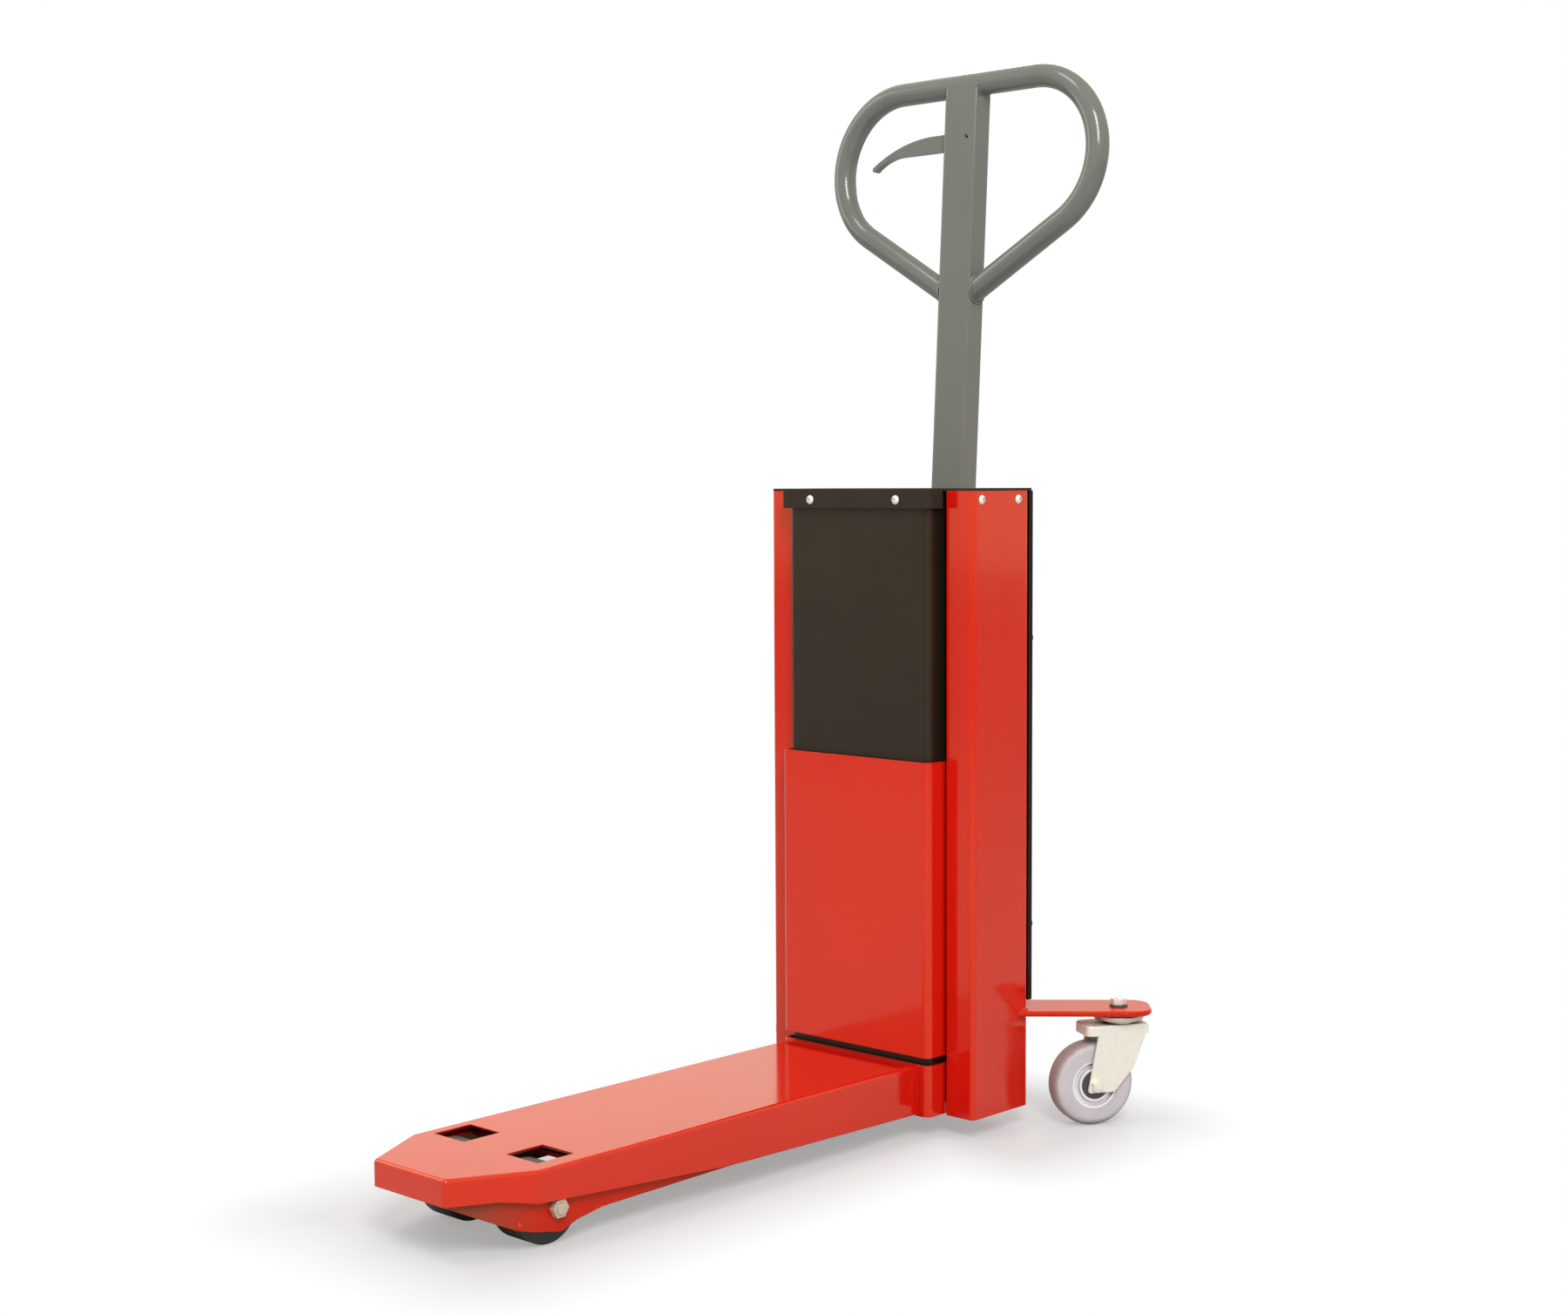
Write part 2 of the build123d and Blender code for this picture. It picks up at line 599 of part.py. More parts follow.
# Fork and carriage
def fork():
    """Inverted channel with a tapered tip, two roller windows and the heel that wraps the cover."""
    back = -CARRIAGE_FRONT + CARRIAGE_SHEET
    bottom = FORK_TOP - HEEL_BLOCK_DEPTH
    body = Pos(0, 0, bottom) * extrude(fork_plan(0, back), HEEL_BLOCK_DEPTH)
    upright = body.edges().filter_by(Axis.Z)
    body = fillet(upright.group_by(Axis.Y)[0] + upright.group_by(Axis.Y)[1], FORK_BEND)
    rim = body.edges().group_by(Axis.Z)[-1]
    body = fillet(rim - rim.group_by(Axis.Y)[-1], FORK_BEND - CUT)
    body -= Pos(0, 0, bottom - CUT) * extrude(
        fork_plan(FORK_SHEET, back + CUT), FORK_UNDERSIDE - bottom + CUT
    )
    under = [
        (TIP_Y - CUT, FORK_TOP - TIP_DEPTH),
        (SHOULDER_Y - SHOULDER_SLANT, FORK_TOP - TIP_DEPTH),
        (SHOULDER_Y, ROLLER_RADIUS + SHOULDER_RISE),
        (MIDDLE_Y, FORK_TOP - MIDDLE_DEPTH),
        (back + CUT, FORK_TOP - HEEL_DEPTH),
        (back + CUT, 0),
        (TIP_Y - CUT, 0),
    ]
    body -= through_x(side_profile(under), 2 * FORK_X)
    window = Rectangle(WINDOW_SIZE, WINDOW_SIZE)
    opening = extrude(window, FORK_SHEET, both=True)
    opening += Pos(0, 0, -WINDOW_LIP) * extrude(window, -FORK_SHEET, taper=-WINDOW_UNDERCUT)
    for side in (-1, 1):
        x = WINDOW_SHIFT + side * ROLLER_X
        body -= Pos(x, WINDOW_Y, FORK_TOP) * opening
    heel = u_sheet(
        CARRIAGE_X, CARRIAGE_FRONT, CARRIAGE_BACK, CARRIAGE_CORNER, CARRIAGE_SHEET, bottom, FORK_TOP
    )
    passage = FORK_X - FORK_SHEET
    heel -= block(-passage, passage, -CARRIAGE_FRONT - CUT, 0, 0, FORK_UNDERSIDE)
    body += heel
    return drill_carriage_bolts(body)


def carriage_panel():
    panel = u_sheet(
        CARRIAGE_X, CARRIAGE_FRONT, CARRIAGE_BACK, CARRIAGE_CORNER, CARRIAGE_SHEET, PANEL_BOTTOM, PANEL_TOP
    )
    return drill_carriage_bolts(panel)


def carriage_bolt_heights():
    low, high = PANEL_BOTTOM + PANEL_BOLT_RISE, PANEL_TOP - PANEL_BOLT_DROP
    return [FORK_TOP - HEEL_BOLT_DROP, low, (low + high) / 2, high]


def drill_carriage_bolts(body):
    for z in carriage_bolt_heights():
        body -= bar_x(CARRIAGE_BOLT_RADIUS + HOLE_FIT, -CARRIAGE_X, CARRIAGE_X, CARRIAGE_BOLT_BACK, z)
    return body


def pad_heights():
    return [SIDE_PLATE_BOTTOM, SIDE_PLATE_TOP - PAD_INSET - PAD_HEIGHT]


def carriage_frame():
    """Two side plates, a web behind the front cover and the crosshead that the ram lifts."""
    inner = PLATE_INNER_X
    plate = block(inner, PLATE_X, SIDE_PLATE_FRONT, SIDE_PLATE_BACK, SIDE_PLATE_BOTTOM, SIDE_PLATE_TOP)
    for z in pad_heights():
        plate += block(
            inner, PLATE_X + PAD_EAR_REACH, SIDE_PLATE_BACK - PAD_EAR, SIDE_PLATE_BACK, z, z + PAD_HEIGHT
        )
    frame = plate + other_side(plate)
    frame += block(
        -inner, inner, SIDE_PLATE_FRONT, SIDE_PLATE_FRONT + WEB_SHEET, WEB_BOTTOM, PANEL_TOP - WEB_DROP
    )
    frame += block(
        -inner, inner, CYLINDER_BACK - CYLINDER_RADIUS, CYLINDER_BACK + CYLINDER_RADIUS,
        CROSSHEAD_BOTTOM, SIDE_PLATE_TOP,
    )
    return drill_carriage_bolts(frame)


def slide_pads():
    inner = CARRIAGE_X + 2 * FRONT_GAP
    pads = []
    for z in pad_heights():
        pad = block(
            inner, INNER_X - PAD_PLAY, COLUMN_WALL + PAD_PLAY, REAR_INNER_Y - PAD_PLAY, z, z + PAD_HEIGHT
        )
        pad = chamfer(pad.edges().filter_by(Axis.Z).group_by(Axis.X)[-1], COLUMN_BEND - COLUMN_WALL)
        pad -= block(
            inner - CUT, PLATE_X + PAD_EAR_REACH, SIDE_PLATE_BACK - PAD_EAR, SIDE_PLATE_BACK,
            z - CUT, z + PAD_HEIGHT + CUT,
        )
        pads += both_sides(pad)
    return pads


def carriage_bolts():
    grip = CARRIAGE_SHEET + SIDE_PLATE
    bolt = dome_screw(CARRIAGE_BOLT_RADIUS, grip, CARRIAGE_BOLT_HEAD_RADIUS, CARRIAGE_BOLT_HEAD)
    bolts = []
    for z in carriage_bolt_heights():
        bolts += both_sides(Pos(CARRIAGE_X, CARRIAGE_BOLT_BACK, z) * Rot(0, 90, 0) * bolt)
    return bolts


# Hydraulics
def pump_body():
    """Cast block: a front foot with the plunger barrel and a shelf that carries the cylinder."""
    half = PUMP_WIDTH / 2
    body = block(-half, half, PUMP_FRONT, PUMP_BACK, BASE_TOP, PUMP_TOP)
    body += block(-half, half, PUMP_FRONT, CYLINDER_BACK + CYLINDER_RADIUS, PUMP_SHELF, PUMP_TOP)
    body += bar_y(BARREL_RADIUS, PUMP_BACK - CUT, PUMP_BACK + BARREL_LENGTH, 0, PLUNGER_HEIGHT)
    foot = block(-half, half, PUMP_FRONT, VALVE_FRONT, BASE_TOP, BASE_TOP + BASE_PLATE)
    body += foot
    bore_end = plunger_end() - PLUNGER_STROKE - END_PLAY
    body -= bar_y(
        PLUNGER_RADIUS + RUNNING_FIT, bore_end, PUMP_BACK + BARREL_LENGTH + CUT, 0, PLUNGER_HEIGHT
    )
    return body


def plunger_end():
    return PUMP_BACK + BARREL_LENGTH - PLUNGER_GRIP


def pump_plunger():
    plunger = bar_y(PLUNGER_RADIUS, plunger_end(), PLUNGER_BACK, 0, PLUNGER_HEIGHT)
    head = bar_y(PLUNGER_HEAD_RADIUS, PLUNGER_BACK - PLUNGER_HEAD, PLUNGER_BACK, 0, PLUNGER_HEIGHT)
    return plunger + head


def biarc(start, start_dir, end, end_dir):
    """Two arcs that leave start along start_dir and reach end along end_dir without a kink."""
    chord = end - start
    both = start_dir + end_dir
    spread = 2 * (1 - start_dir.dot(end_dir))
    ahead = chord.dot(both)
    length = (math.sqrt(ahead**2 + spread * chord.dot(chord)) - ahead) / spread
    first = start + start_dir * length
    last = end - end_dir * length
    joint = (first + last) * 0.5
    return [
        TangentArc(start, joint, tangent=start_dir),
        TangentArc(joint, end, tangent=last - first),
    ]


def plunger_spring():
    """Open-wound return spring round the pump barrel, one unbroken wire."""
    start = PUMP_BACK + SPRING_WIRE + END_PLAY
    end = PLUNGER_BACK - PLUNGER_HEAD - SPRING_WIRE - END_PLAY
    pitch = (end - start) / SPRING_TURNS
    rise = pitch / (2 * math.pi)
    stations = []
    for quarter in range(4 * SPRING_TURNS + 1):
        turn = quarter * math.pi / 2
        across = SPRING_RADIUS * math.cos(turn)
        up = SPRING_RADIUS * math.sin(turn)
        place = Vector(across, start + rise * turn, PLUNGER_HEIGHT + up)
        heading = Vector(-up, rise, across).normalized()
        stations.append((place, heading))
    arcs = []
    for near, far in zip(stations, stations[1:]):
        arcs += biarc(*near, *far)
    place, heading = stations[0]
    print(f"plunger_spring least gap between turns {pitch - 2 * SPRING_WIRE:.2f} mm")
    return sweep(Plane(origin=place, z_dir=heading) * Circle(SPRING_WIRE), path=Wire(arcs))


def lift_cylinder():
    tube = bar_z(CYLINDER_RADIUS, PUMP_TOP, CYLINDER_TOP, 0, CYLINDER_BACK)
    return tube - bar_z(CYLINDER_BORE, PUMP_TOP + CYLINDER_FLOOR, CYLINDER_TOP + CUT, 0, CYLINDER_BACK)


def cylinder_gland():
    top = CYLINDER_TOP + GLAND_HEIGHT
    gland = bar_z(GLAND_RADIUS, CYLINDER_TOP, top, 0, CYLINDER_BACK)
    gland = chamfer(gland.edges().group_by(Axis.Z)[-1], EDGE_BREAK)
    return gland - bar_z(RAM_RADIUS + RUNNING_FIT, CYLINDER_TOP - CUT, top + CUT, 0, CYLINDER_BACK)


def lift_ram():
    return bar_z(RAM_RADIUS, PUMP_TOP + RAM_START, CROSSHEAD_BOTTOM, 0, CYLINDER_BACK)


def oil_tank():
    tank = block(-TANK_X - TANK_WIDTH, -TANK_X, TANK_FRONT, TANK_BACK, TANK_BOTTOM, TANK_TOP)
    tank = fillet(tank.edges().filter_by(Axis.Z), TANK_CORNER)
    return fillet(tank.edges().group_by(Axis.Z)[-1], TANK_CORNER / 2)


def tank_plug():
    x = -TANK_X - TANK_WIDTH / 2
    y = (TANK_FRONT + TANK_BACK) / 2
    plug = Pos(x, y, TANK_TOP) * hexagon(2 * TANK_PLUG_RADIUS, TANK_PLUG_HEIGHT / 2)
    return plug + bar_z(TANK_PLUG_RADIUS - EDGE_BREAK, TANK_TOP, TANK_TOP + TANK_PLUG_HEIGHT, x, y)


def valve_pivot():
    return ((VALVE_FRONT + VALVE_BACK) / 2, PUMP_TOP + VALVE_PIVOT_RISE)


def release_valve():
    """Lowering valve behind the pump shelf, with two lugs and a pin for its arm."""
    y, z = valve_pivot()
    body = block(
        -VALVE_HALF, VALVE_HALF, CYLINDER_BACK + CYLINDER_RADIUS, VALVE_BACK, PUMP_SHELF, PUMP_TOP
    )
    inner = VALVE_ARM_SHEET / 2 + END_PLAY
    lug = block(
        inner, VALVE_HALF, y - VALVE_LUG_RADIUS, y + VALVE_LUG_RADIUS, PUMP_TOP, z
    )
    lug += bar_x(VALVE_LUG_RADIUS, inner, VALVE_HALF, y, z)
    for piece in both_sides(lug):
        body += piece
    return body + bar_x(VALVE_PIN_RADIUS, -VALVE_HALF, VALVE_HALF, y, z)


def valve_arm():
    """Arm from the valve out to the tiller's pivot line, where the rod's eye pulls its pin."""
    y, z = valve_pivot()
    half = VALVE_ARM_SHEET / 2
    outline = [
        Pos(y, z) * Circle(VALVE_ARM_RADIUS),
        Pos(PIVOT_BACK, PIVOT_HEIGHT) * Circle(VALVE_ARM_RADIUS),
    ]
    arm = through_x(Plane.YZ * make_hull(outline[0].edges() + outline[1].edges()), half)
    arm -= bar_x(VALVE_PIN_RADIUS + RUNNING_FIT, -VALVE_HALF, VALVE_HALF, y, z)
    pin_end = ROD_SIDE - ROD_EYE_SHEET
    return arm + bar_x(VALVE_PIN_RADIUS, pin_end, half, PIVOT_BACK, PIVOT_HEIGHT)


# Tiller
def bracket_bolt_places():
    x = EAR_X + EAR_SHEET + BRACKET_MARGIN / 2
    heights = (BRACKET_BOTTOM + BRACKET_BOLT_INSET, BRACKET_TOP - BRACKET_BOLT_INSET)
    return [(side * x, z) for side in (-1, 1) for z in heights]


def tiller_bracket():
    """Bolted plate on the back of the column with two ears for the tiller's pivot pins."""
    half = EAR_X + EAR_SHEET + BRACKET_MARGIN
    back = COLUMN_DEPTH + BRACKET_SHEET
    plate = block(-half, half, COLUMN_DEPTH, back, BRACKET_BOTTOM, BRACKET_TOP)
    plate = fillet(plate.edges().filter_by(Axis.Y), COLUMN_BEND)
    foot_room = Rectangle(2 * FOOT_OPENING_X, FOOT_OPENING_TOP - FOOT_OPENING_BOTTOM)
    foot_room = Pos(0, (FOOT_OPENING_TOP + FOOT_OPENING_BOTTOM) / 2) * foot_room
    plate -= extrude(Plane.XZ * foot_room, -2 * back)
    eye = Pos(PIVOT_BACK, PIVOT_HEIGHT) * Circle(EAR_RADIUS)
    root = Pos(COLUMN_DEPTH + BRACKET_SHEET / 2, PIVOT_HEIGHT) * Rectangle(BRACKET_SHEET, 4 * EAR_RADIUS)
    ear = extrude(Plane.YZ * make_hull(eye.edges() + root.edges()), EAR_SHEET)
    ear -= bar_x(PIVOT_PIN_RADIUS + RUNNING_FIT, -CUT, EAR_SHEET + CUT, PIVOT_BACK, PIVOT_HEIGHT)
    for piece in both_sides(Pos(EAR_X, 0, 0) * ear):
        plate += piece
    for x, z in bracket_bolt_places():
        plate -= bar_y(BRACKET_BOLT_RADIUS + HOLE_FIT, COLUMN_DEPTH - CUT, back + CUT, x, z)
    return plate


def bracket_bolts():
    back = COLUMN_DEPTH + BRACKET_SHEET
    bolt = hexagon(BRACKET_BOLT_FLATS, BRACKET_BOLT_HEAD)
    bolt += bar_z(BRACKET_BOLT_RADIUS, -BRACKET_SHEET - COLUMN_WALL, 0)
    return [Pos(x, back, z) * Rot(-90, 0, 0) * bolt for x, z in bracket_bolt_places()]


def tiller_pivot_pins():
    outer = EAR_X + EAR_SHEET
    pin = bar_x(PIVOT_PIN_RADIUS, CHEEK_X - CHEEK_SHEET, outer + CUT, PIVOT_BACK, PIVOT_HEIGHT)
    head = bar_x(PIVOT_PIN_HEAD, outer, outer + PIVOT_PIN_HEAD_HEIGHT, PIVOT_BACK, PIVOT_HEIGHT)
    head = chamfer(head.edges().group_by(Axis.X)[-1], EDGE_BREAK)
    return both_sides(pin + head)


def tiller_tube():
    section = RectangleRounded(TUBE_WIDTH, TUBE_DEPTH, TUBE_BEND)
    section -= RectangleRounded(
        TUBE_WIDTH - 2 * TUBE_WALL, TUBE_DEPTH - 2 * TUBE_WALL, TUBE_BEND - TUBE_WALL
    )
    tube = Pos(0, 0, TUBE_START) * extrude(section, LOOP_HEIGHT - TUBE_START)
    tube -= bar_x(LOOP_RADIUS, -TUBE_WIDTH, TUBE_WIDTH, 0, LOOP_HEIGHT)
    tube -= bar_y(LEVER_PIN_RADIUS + RUNNING_FIT, -TUBE_DEPTH, TUBE_DEPTH, LEVER_PIN_SIDE, LEVER_PIN_HEIGHT)
    room = LEVER_SHEET / 2 + 2 * END_PLAY
    span = LEVER_PIN_SIDE + TUBE_WIDTH / 2
    lift = span * math.tan(math.radians(LEVER_TURN))
    tube -= block(
        -TUBE_WIDTH, -TUBE_WIDTH / 2 + TUBE_WALL + CUT, -room, room,
        LEVER_PIN_HEIGHT - LEVER_ROOT_BOTTOM - 2 * END_PLAY,
        LEVER_PIN_HEIGHT + LEVER_BOSS + lift + 2 * END_PLAY,
    )
    return to_tiller(tube)


def loop_path():
    """Centre line of the handle: two diagonals, two corner arcs and a straight top bar."""
    side = LOOP_STRAIGHT / 2
    centre = Vector(side, LOOP_HEIGHT - LOOP_CORNER)
    foot = Vector(TUBE_WIDTH / 2, LOOP_FOOT)
    reach = centre - foot
    slope = math.atan2(reach.Y, reach.X) - math.asin(LOOP_CORNER / reach.length)
    run = math.sqrt(reach.length**2 - LOOP_CORNER**2)
    along = Vector(math.cos(slope), math.sin(slope))
    start = foot - along * (TUBE_WIDTH / 4 / along.X)
    touch = foot + along * run
    top = Vector(side, LOOP_HEIGHT)
    heading = (along.X, 0, along.Y)
    right = [(p.X, 0, p.Y) for p in (start, touch, top)]
    left = [(-p.X, 0, p.Y) for p in (top, touch, start)]
    path = Wire([
        Line(right[0], right[1]),
        TangentArc(right[1], right[2], tangent=heading),
        Line(right[2], left[0]),
        TangentArc(left[0], left[1], tangent=(-1, 0, 0)),
        Line(left[1], left[2]),
    ])
    return path, right[0], heading


def handle_loop():
    path, start, heading = loop_path()
    plane = Plane(origin=start, z_dir=heading)
    loop = sweep(plane * (Circle(LOOP_RADIUS) - Circle(LOOP_RADIUS - LOOP_WALL)), path=path)
    half = TUBE_WIDTH / 2
    loop -= block(-half, half, -TUBE_DEPTH, TUBE_DEPTH, 0, LOOP_HEIGHT - LOOP_CORNER)
    return to_tiller(loop)


def tiller_foot():
    """Two welded cheeks that hinge on the ears, joined by the round cam that drives the pump."""
    pivot = Circle(CHEEK_PIVOT_RADIUS)
    end = Pos(0, -CAM_ARM) * Circle(CHEEK_END_RADIUS)
    top = Pos(0, CHEEK_TOP / 2) * Rectangle(2 * CHEEK_HALF, CHEEK_TOP)
    outline = make_hull(pivot.edges() + end.edges() + top.edges())
    cheek = Pos(TUBE_WIDTH / 2, 0, 0) * extrude(Plane.YZ * outline, CHEEK_SHEET)
    cheek -= bar_x(PIVOT_PIN_RADIUS + RUNNING_FIT, 0, 2 * TUBE_WIDTH, 0, 0)
    foot = cheek + other_side(cheek)
    foot += bar_x(CAM_RADIUS, -CHEEK_X, CHEEK_X, 0, -CAM_ARM)
    return to_tiller(foot)


def lever_pin():
    """Hollow spring pin, driven in a little below both faces of the tube."""
    half = TUBE_DEPTH / 2 - LEVER_PIN_RECESS
    pin = bar_y(LEVER_PIN_RADIUS, -half, half, LEVER_PIN_SIDE, LEVER_PIN_HEIGHT)
    return to_tiller(pin - bar_y(LEVER_PIN_BORE, -TUBE_DEPTH, TUBE_DEPTH, LEVER_PIN_SIDE, LEVER_PIN_HEIGHT))


def release_lever():
    """Flat hand lever: a boss on the pin, a tapering blade and a curled tip."""
    boss = Circle(LEVER_BOSS)
    tip = Pos(-LEVER_TIP_REACH, -LEVER_TIP_DROP) * Circle(LEVER_TIP_RADIUS)
    slope = math.radians(LEVER_TIP_ANGLE)
    edge = Vector(-math.sin(slope), math.cos(slope)) * LEVER_TIP_RADIUS
    tip_top = Vector(-LEVER_TIP_REACH, -LEVER_TIP_DROP) + edge
    tip_bottom = Vector(-LEVER_TIP_REACH, -LEVER_TIP_DROP) - edge
    blade = make_face([
        Line((0, LEVER_BOSS), (-LEVER_ROOT_REACH, LEVER_ROOT_TOP)),
        ThreePointArc(
            (-LEVER_ROOT_REACH, LEVER_ROOT_TOP),
            (-LEVER_BEND_REACH, -LEVER_BEND_DROP),
            (tip_top.X, tip_top.Y),
        ),
        Line((tip_top.X, tip_top.Y), (tip_bottom.X, tip_bottom.Y)),
        TangentArc((-LEVER_NECK_REACH, -LEVER_ROOT_BOTTOM), (tip_bottom.X, tip_bottom.Y), tangent=(-1, 0)),
        Line((-LEVER_NECK_REACH, -LEVER_ROOT_BOTTOM), (-LEVER_ROOT_REACH, -LEVER_ROOT_BOTTOM)),
        Line((-LEVER_ROOT_REACH, -LEVER_ROOT_BOTTOM), (0, -LEVER_BOSS)),
        Line((0, -LEVER_BOSS), (0, LEVER_BOSS)),
    ])
    slot = Pos(ROD_SIDE - LEVER_PIN_SIDE, 0) * Circle(ROD_PIN_RADIUS + ROD_PIN_ROOM)
    face = boss + blade + tip - slot - Circle(LEVER_PIN_RADIUS + RUNNING_FIT)
    lever = extrude(Plane.XZ * face, LEVER_SHEET / 2, both=True)
    return to_tiller(Pos(LEVER_PIN_SIDE, 0, LEVER_PIN_HEIGHT) * lever)


def release_rod():
    """Pull rod inside the tiller tube, forked round the lever and ending in an eye at the pivot."""
    x, z = ROD_SIDE, LEVER_PIN_HEIGHT
    fork_base = z - ROD_FORK_DROP
    rod = bar_z(ROD_RADIUS, ROD_EYE_RADIUS - CUT, fork_base - CUT, x, 0)
    eye = bar_x(ROD_EYE_RADIUS, x - ROD_EYE_SHEET / 2, x + ROD_EYE_SHEET / 2, 0, 0)
    rod += eye - bar_x(ROD_EYE_BORE, x - ROD_EYE_SHEET, x + ROD_EYE_SHEET, 0, 0)
    half, gap = ROD_FORK_HALF, LEVER_SHEET / 2 + END_PLAY
    outer = gap + ROD_FORK_SHEET
    fork_end = block(x - half, x + half, -outer, outer, fork_base - half, z + half)
    fork_end -= block(x - 2 * half, x + 2 * half, -gap, gap, fork_base, z + 2 * half)
    return to_tiller(rod + fork_end + bar_y(ROD_PIN_RADIUS, -outer, outer, x, z))


# Castors
def castor_fork(side):
    """Pressed fork: a crown turned down at its nose and sides, and two raked legs flush with it."""
    inner = CASTOR_WIDTH / 2 + FORK_ROOM
    outer = inner + CROWN_SHEET
    under = CROWN_TOP - CROWN_SHEET
    rim = under - CROWN_DROP
    plan = u_plan(outer, CROWN_NOSE, FORK_BACK, CROWN_NOSE_CORNER)
    crown = Pos(0, 0, rim) * extrude(plan, CROWN_TOP - rim)
    crown = fillet(crown.edges().group_by(Axis.Z)[-1], CROWN_SHEET - CUT)
    hollow = u_plan(inner, CROWN_NOSE - CROWN_SHEET, FORK_BACK + CUT, CROWN_NOSE_CORNER - CROWN_SHEET)
    crown -= Pos(0, 0, rim - CUT) * extrude(hollow, CROWN_DROP + CUT)
    axle, sole = -CASTOR_TRAIL, CASTOR_RADIUS - FORK_SOLE
    outline = make_face(
        Polyline(
            (axle + FORK_BROW, under),
            (axle - FORK_TOE, sole),
            (axle + FORK_SOLE_BACK, sole),
            (axle + FORK_KNEE_BACK, CASTOR_RADIUS + FORK_KNEE_RISE),
            (FORK_BACK, under),
            close=True,
        )
    )
    outline = fillet(outline.vertices().group_by(Axis.Y)[0], FORK_CORNER)
    leg = Pos(inner, 0, 0) * extrude(Plane.YZ * outline, CROWN_SHEET)
    body = crown + leg + other_side(leg)
    body -= bar_z(KINGPIN_RADIUS + RUNNING_FIT, 0, CROWN_TOP + CUT)
    body -= bar_x(CASTOR_AXLE_RADIUS + RUNNING_FIT, -2 * outer, 2 * outer, -CASTOR_TRAIL, CASTOR_RADIUS)
    return to_castor(body, side)


def swivel_race(side):
    """Swivel race between the castor crown and the arm: a neck with a wide rim."""
    rim_top = ARM_BOTTOM - RACE_RIM_DROP
    rim = bar_z(RACE_RADIUS, rim_top - RACE_RIM, rim_top)
    rim = chamfer(rim.edges(), EDGE_BREAK / 2)
    race = rim + bar_z(RACE_NECK, CROWN_TOP + END_PLAY, ARM_BOTTOM)
    return to_castor(race - bar_z(KINGPIN_RADIUS + RUNNING_FIT, CROWN_TOP, ARM_BOTTOM + CUT), side)


def kingpin(side):
    """Bolt up through crown, race and arm, with a hexagon head under the crown."""
    head_top = CROWN_TOP - CROWN_SHEET - END_PLAY
    bolt = Pos(0, 0, head_top - KINGPIN_HEAD) * hexagon(KINGPIN_HEAD_FLATS, KINGPIN_HEAD)
    bolt += bar_z(KINGPIN_RADIUS, head_top - CUT, ARM_TOP + KINGPIN_NUT + CUT)
    return to_castor(bolt, side)


def kingpin_nut(side):
    nut = Pos(0, 0, ARM_TOP) * hexagon(KINGPIN_HEAD_FLATS, KINGPIN_NUT)
    nut += bar_z(KINGPIN_FLANGE_RADIUS, ARM_TOP, ARM_TOP + KINGPIN_FLANGE)
    nut -= bar_z(KINGPIN_RADIUS + RUNNING_FIT, ARM_TOP - CUT, ARM_TOP + 2 * KINGPIN_NUT)
    return to_castor(nut, side)


def on_castor_axle(shape, side):
    """Moves a wheel piece, turned about the Z axis, onto the castor's axle."""
    return to_castor(Pos(0, -CASTOR_TRAIL, CASTOR_RADIUS) * Rot(0, 90, 0) * shape, side)


def castor_tyre(side):
    half = CASTOR_WIDTH / 2
    tyre = Cylinder(CASTOR_RADIUS, CASTOR_WIDTH)
    tyre = fillet(tyre.edges(), TYRE_SHOULDER)
    return on_castor_axle(tyre - bar_z(HUB_RADIUS, -half - CUT, half + CUT), side)


def castor_hub(side):
    """Moulded wheel centre with a dished web and a boss on each side."""
    half = CASTOR_WIDTH / 2
    hub = bar_z(HUB_RADIUS, -half + CUT, half - CUT)
    hub += bar_z(HUB_BOSS_RADIUS, -half, half)
    dish = bar_z(HUB_RADIUS - HUB_RIM, 0, half) - bar_z(HUB_BOSS_RADIUS, 0, half)
    dish = Pos(0, 0, half - CUT - HUB_RECESS) * dish
    hub -= [dish, mirror(dish, about=Plane.XY)]
    return on_castor_axle(hub - bar_z(BUSH_RADIUS, -half - CUT, half + CUT), side)


def castor_bush(side):
    half = CASTOR_WIDTH / 2 + FORK_ROOM - END_PLAY
    bush = bar_z(BUSH_RADIUS, -half, half)
    return on_castor_axle(bush - bar_z(CASTOR_AXLE_RADIUS + RUNNING_FIT, -CASTOR_WIDTH, CASTOR_WIDTH), side)


def castor_axle(side):
    """Axle bolt with a hexagon head on one leg of the fork and a nut on the other."""
    half = CASTOR_WIDTH / 2 + FORK_ROOM + CROWN_SHEET
    axle = bar_z(CASTOR_AXLE_RADIUS, -half - CUT, half + CASTOR_NUT + CUT)
    axle += Pos(0, 0, half) * hexagon(CASTOR_NUT_FLATS, CASTOR_NUT)
    axle += Pos(0, 0, -half - CASTOR_NUT) * hexagon(CASTOR_NUT_FLATS, CASTOR_NUT)
    return on_castor_axle(axle, side)


# Load rollers
def on_roller_axle(shape, side):
    return Pos(side * ROLLER_X, ROLLER_Y, ROLLER_RADIUS) * Rot(0, 90, 0) * shape


def load_roller(side):
    roller = fillet(Cylinder(ROLLER_RADIUS, ROLLER_WIDTH).edges(), ROLLER_EDGE)
    return on_roller_axle(roller - Cylinder(ROLLER_BUSH_RADIUS, 2 * ROLLER_WIDTH), side)


def roller_bush(side):
    bush = Cylinder(ROLLER_BUSH_RADIUS, ROLLER_WIDTH + 2 * CUT)
    return on_roller_axle(bush - Cylinder(AXLE_RADIUS + RUNNING_FIT, 2 * ROLLER_WIDTH), side)


def roller_axle():
    """Shouldered axle clamped between the leg's side plates by a nut at each end."""
    half = LEG_X + AXLE_NUT_HEIGHT + AXLE_STUB
    axle = bar_x(AXLE_RADIUS, -LEG_INNER_X, LEG_INNER_X, ROLLER_Y, ROLLER_RADIUS)
    return axle + bar_x(AXLE_END_RADIUS, -half, half, ROLLER_Y, ROLLER_RADIUS)


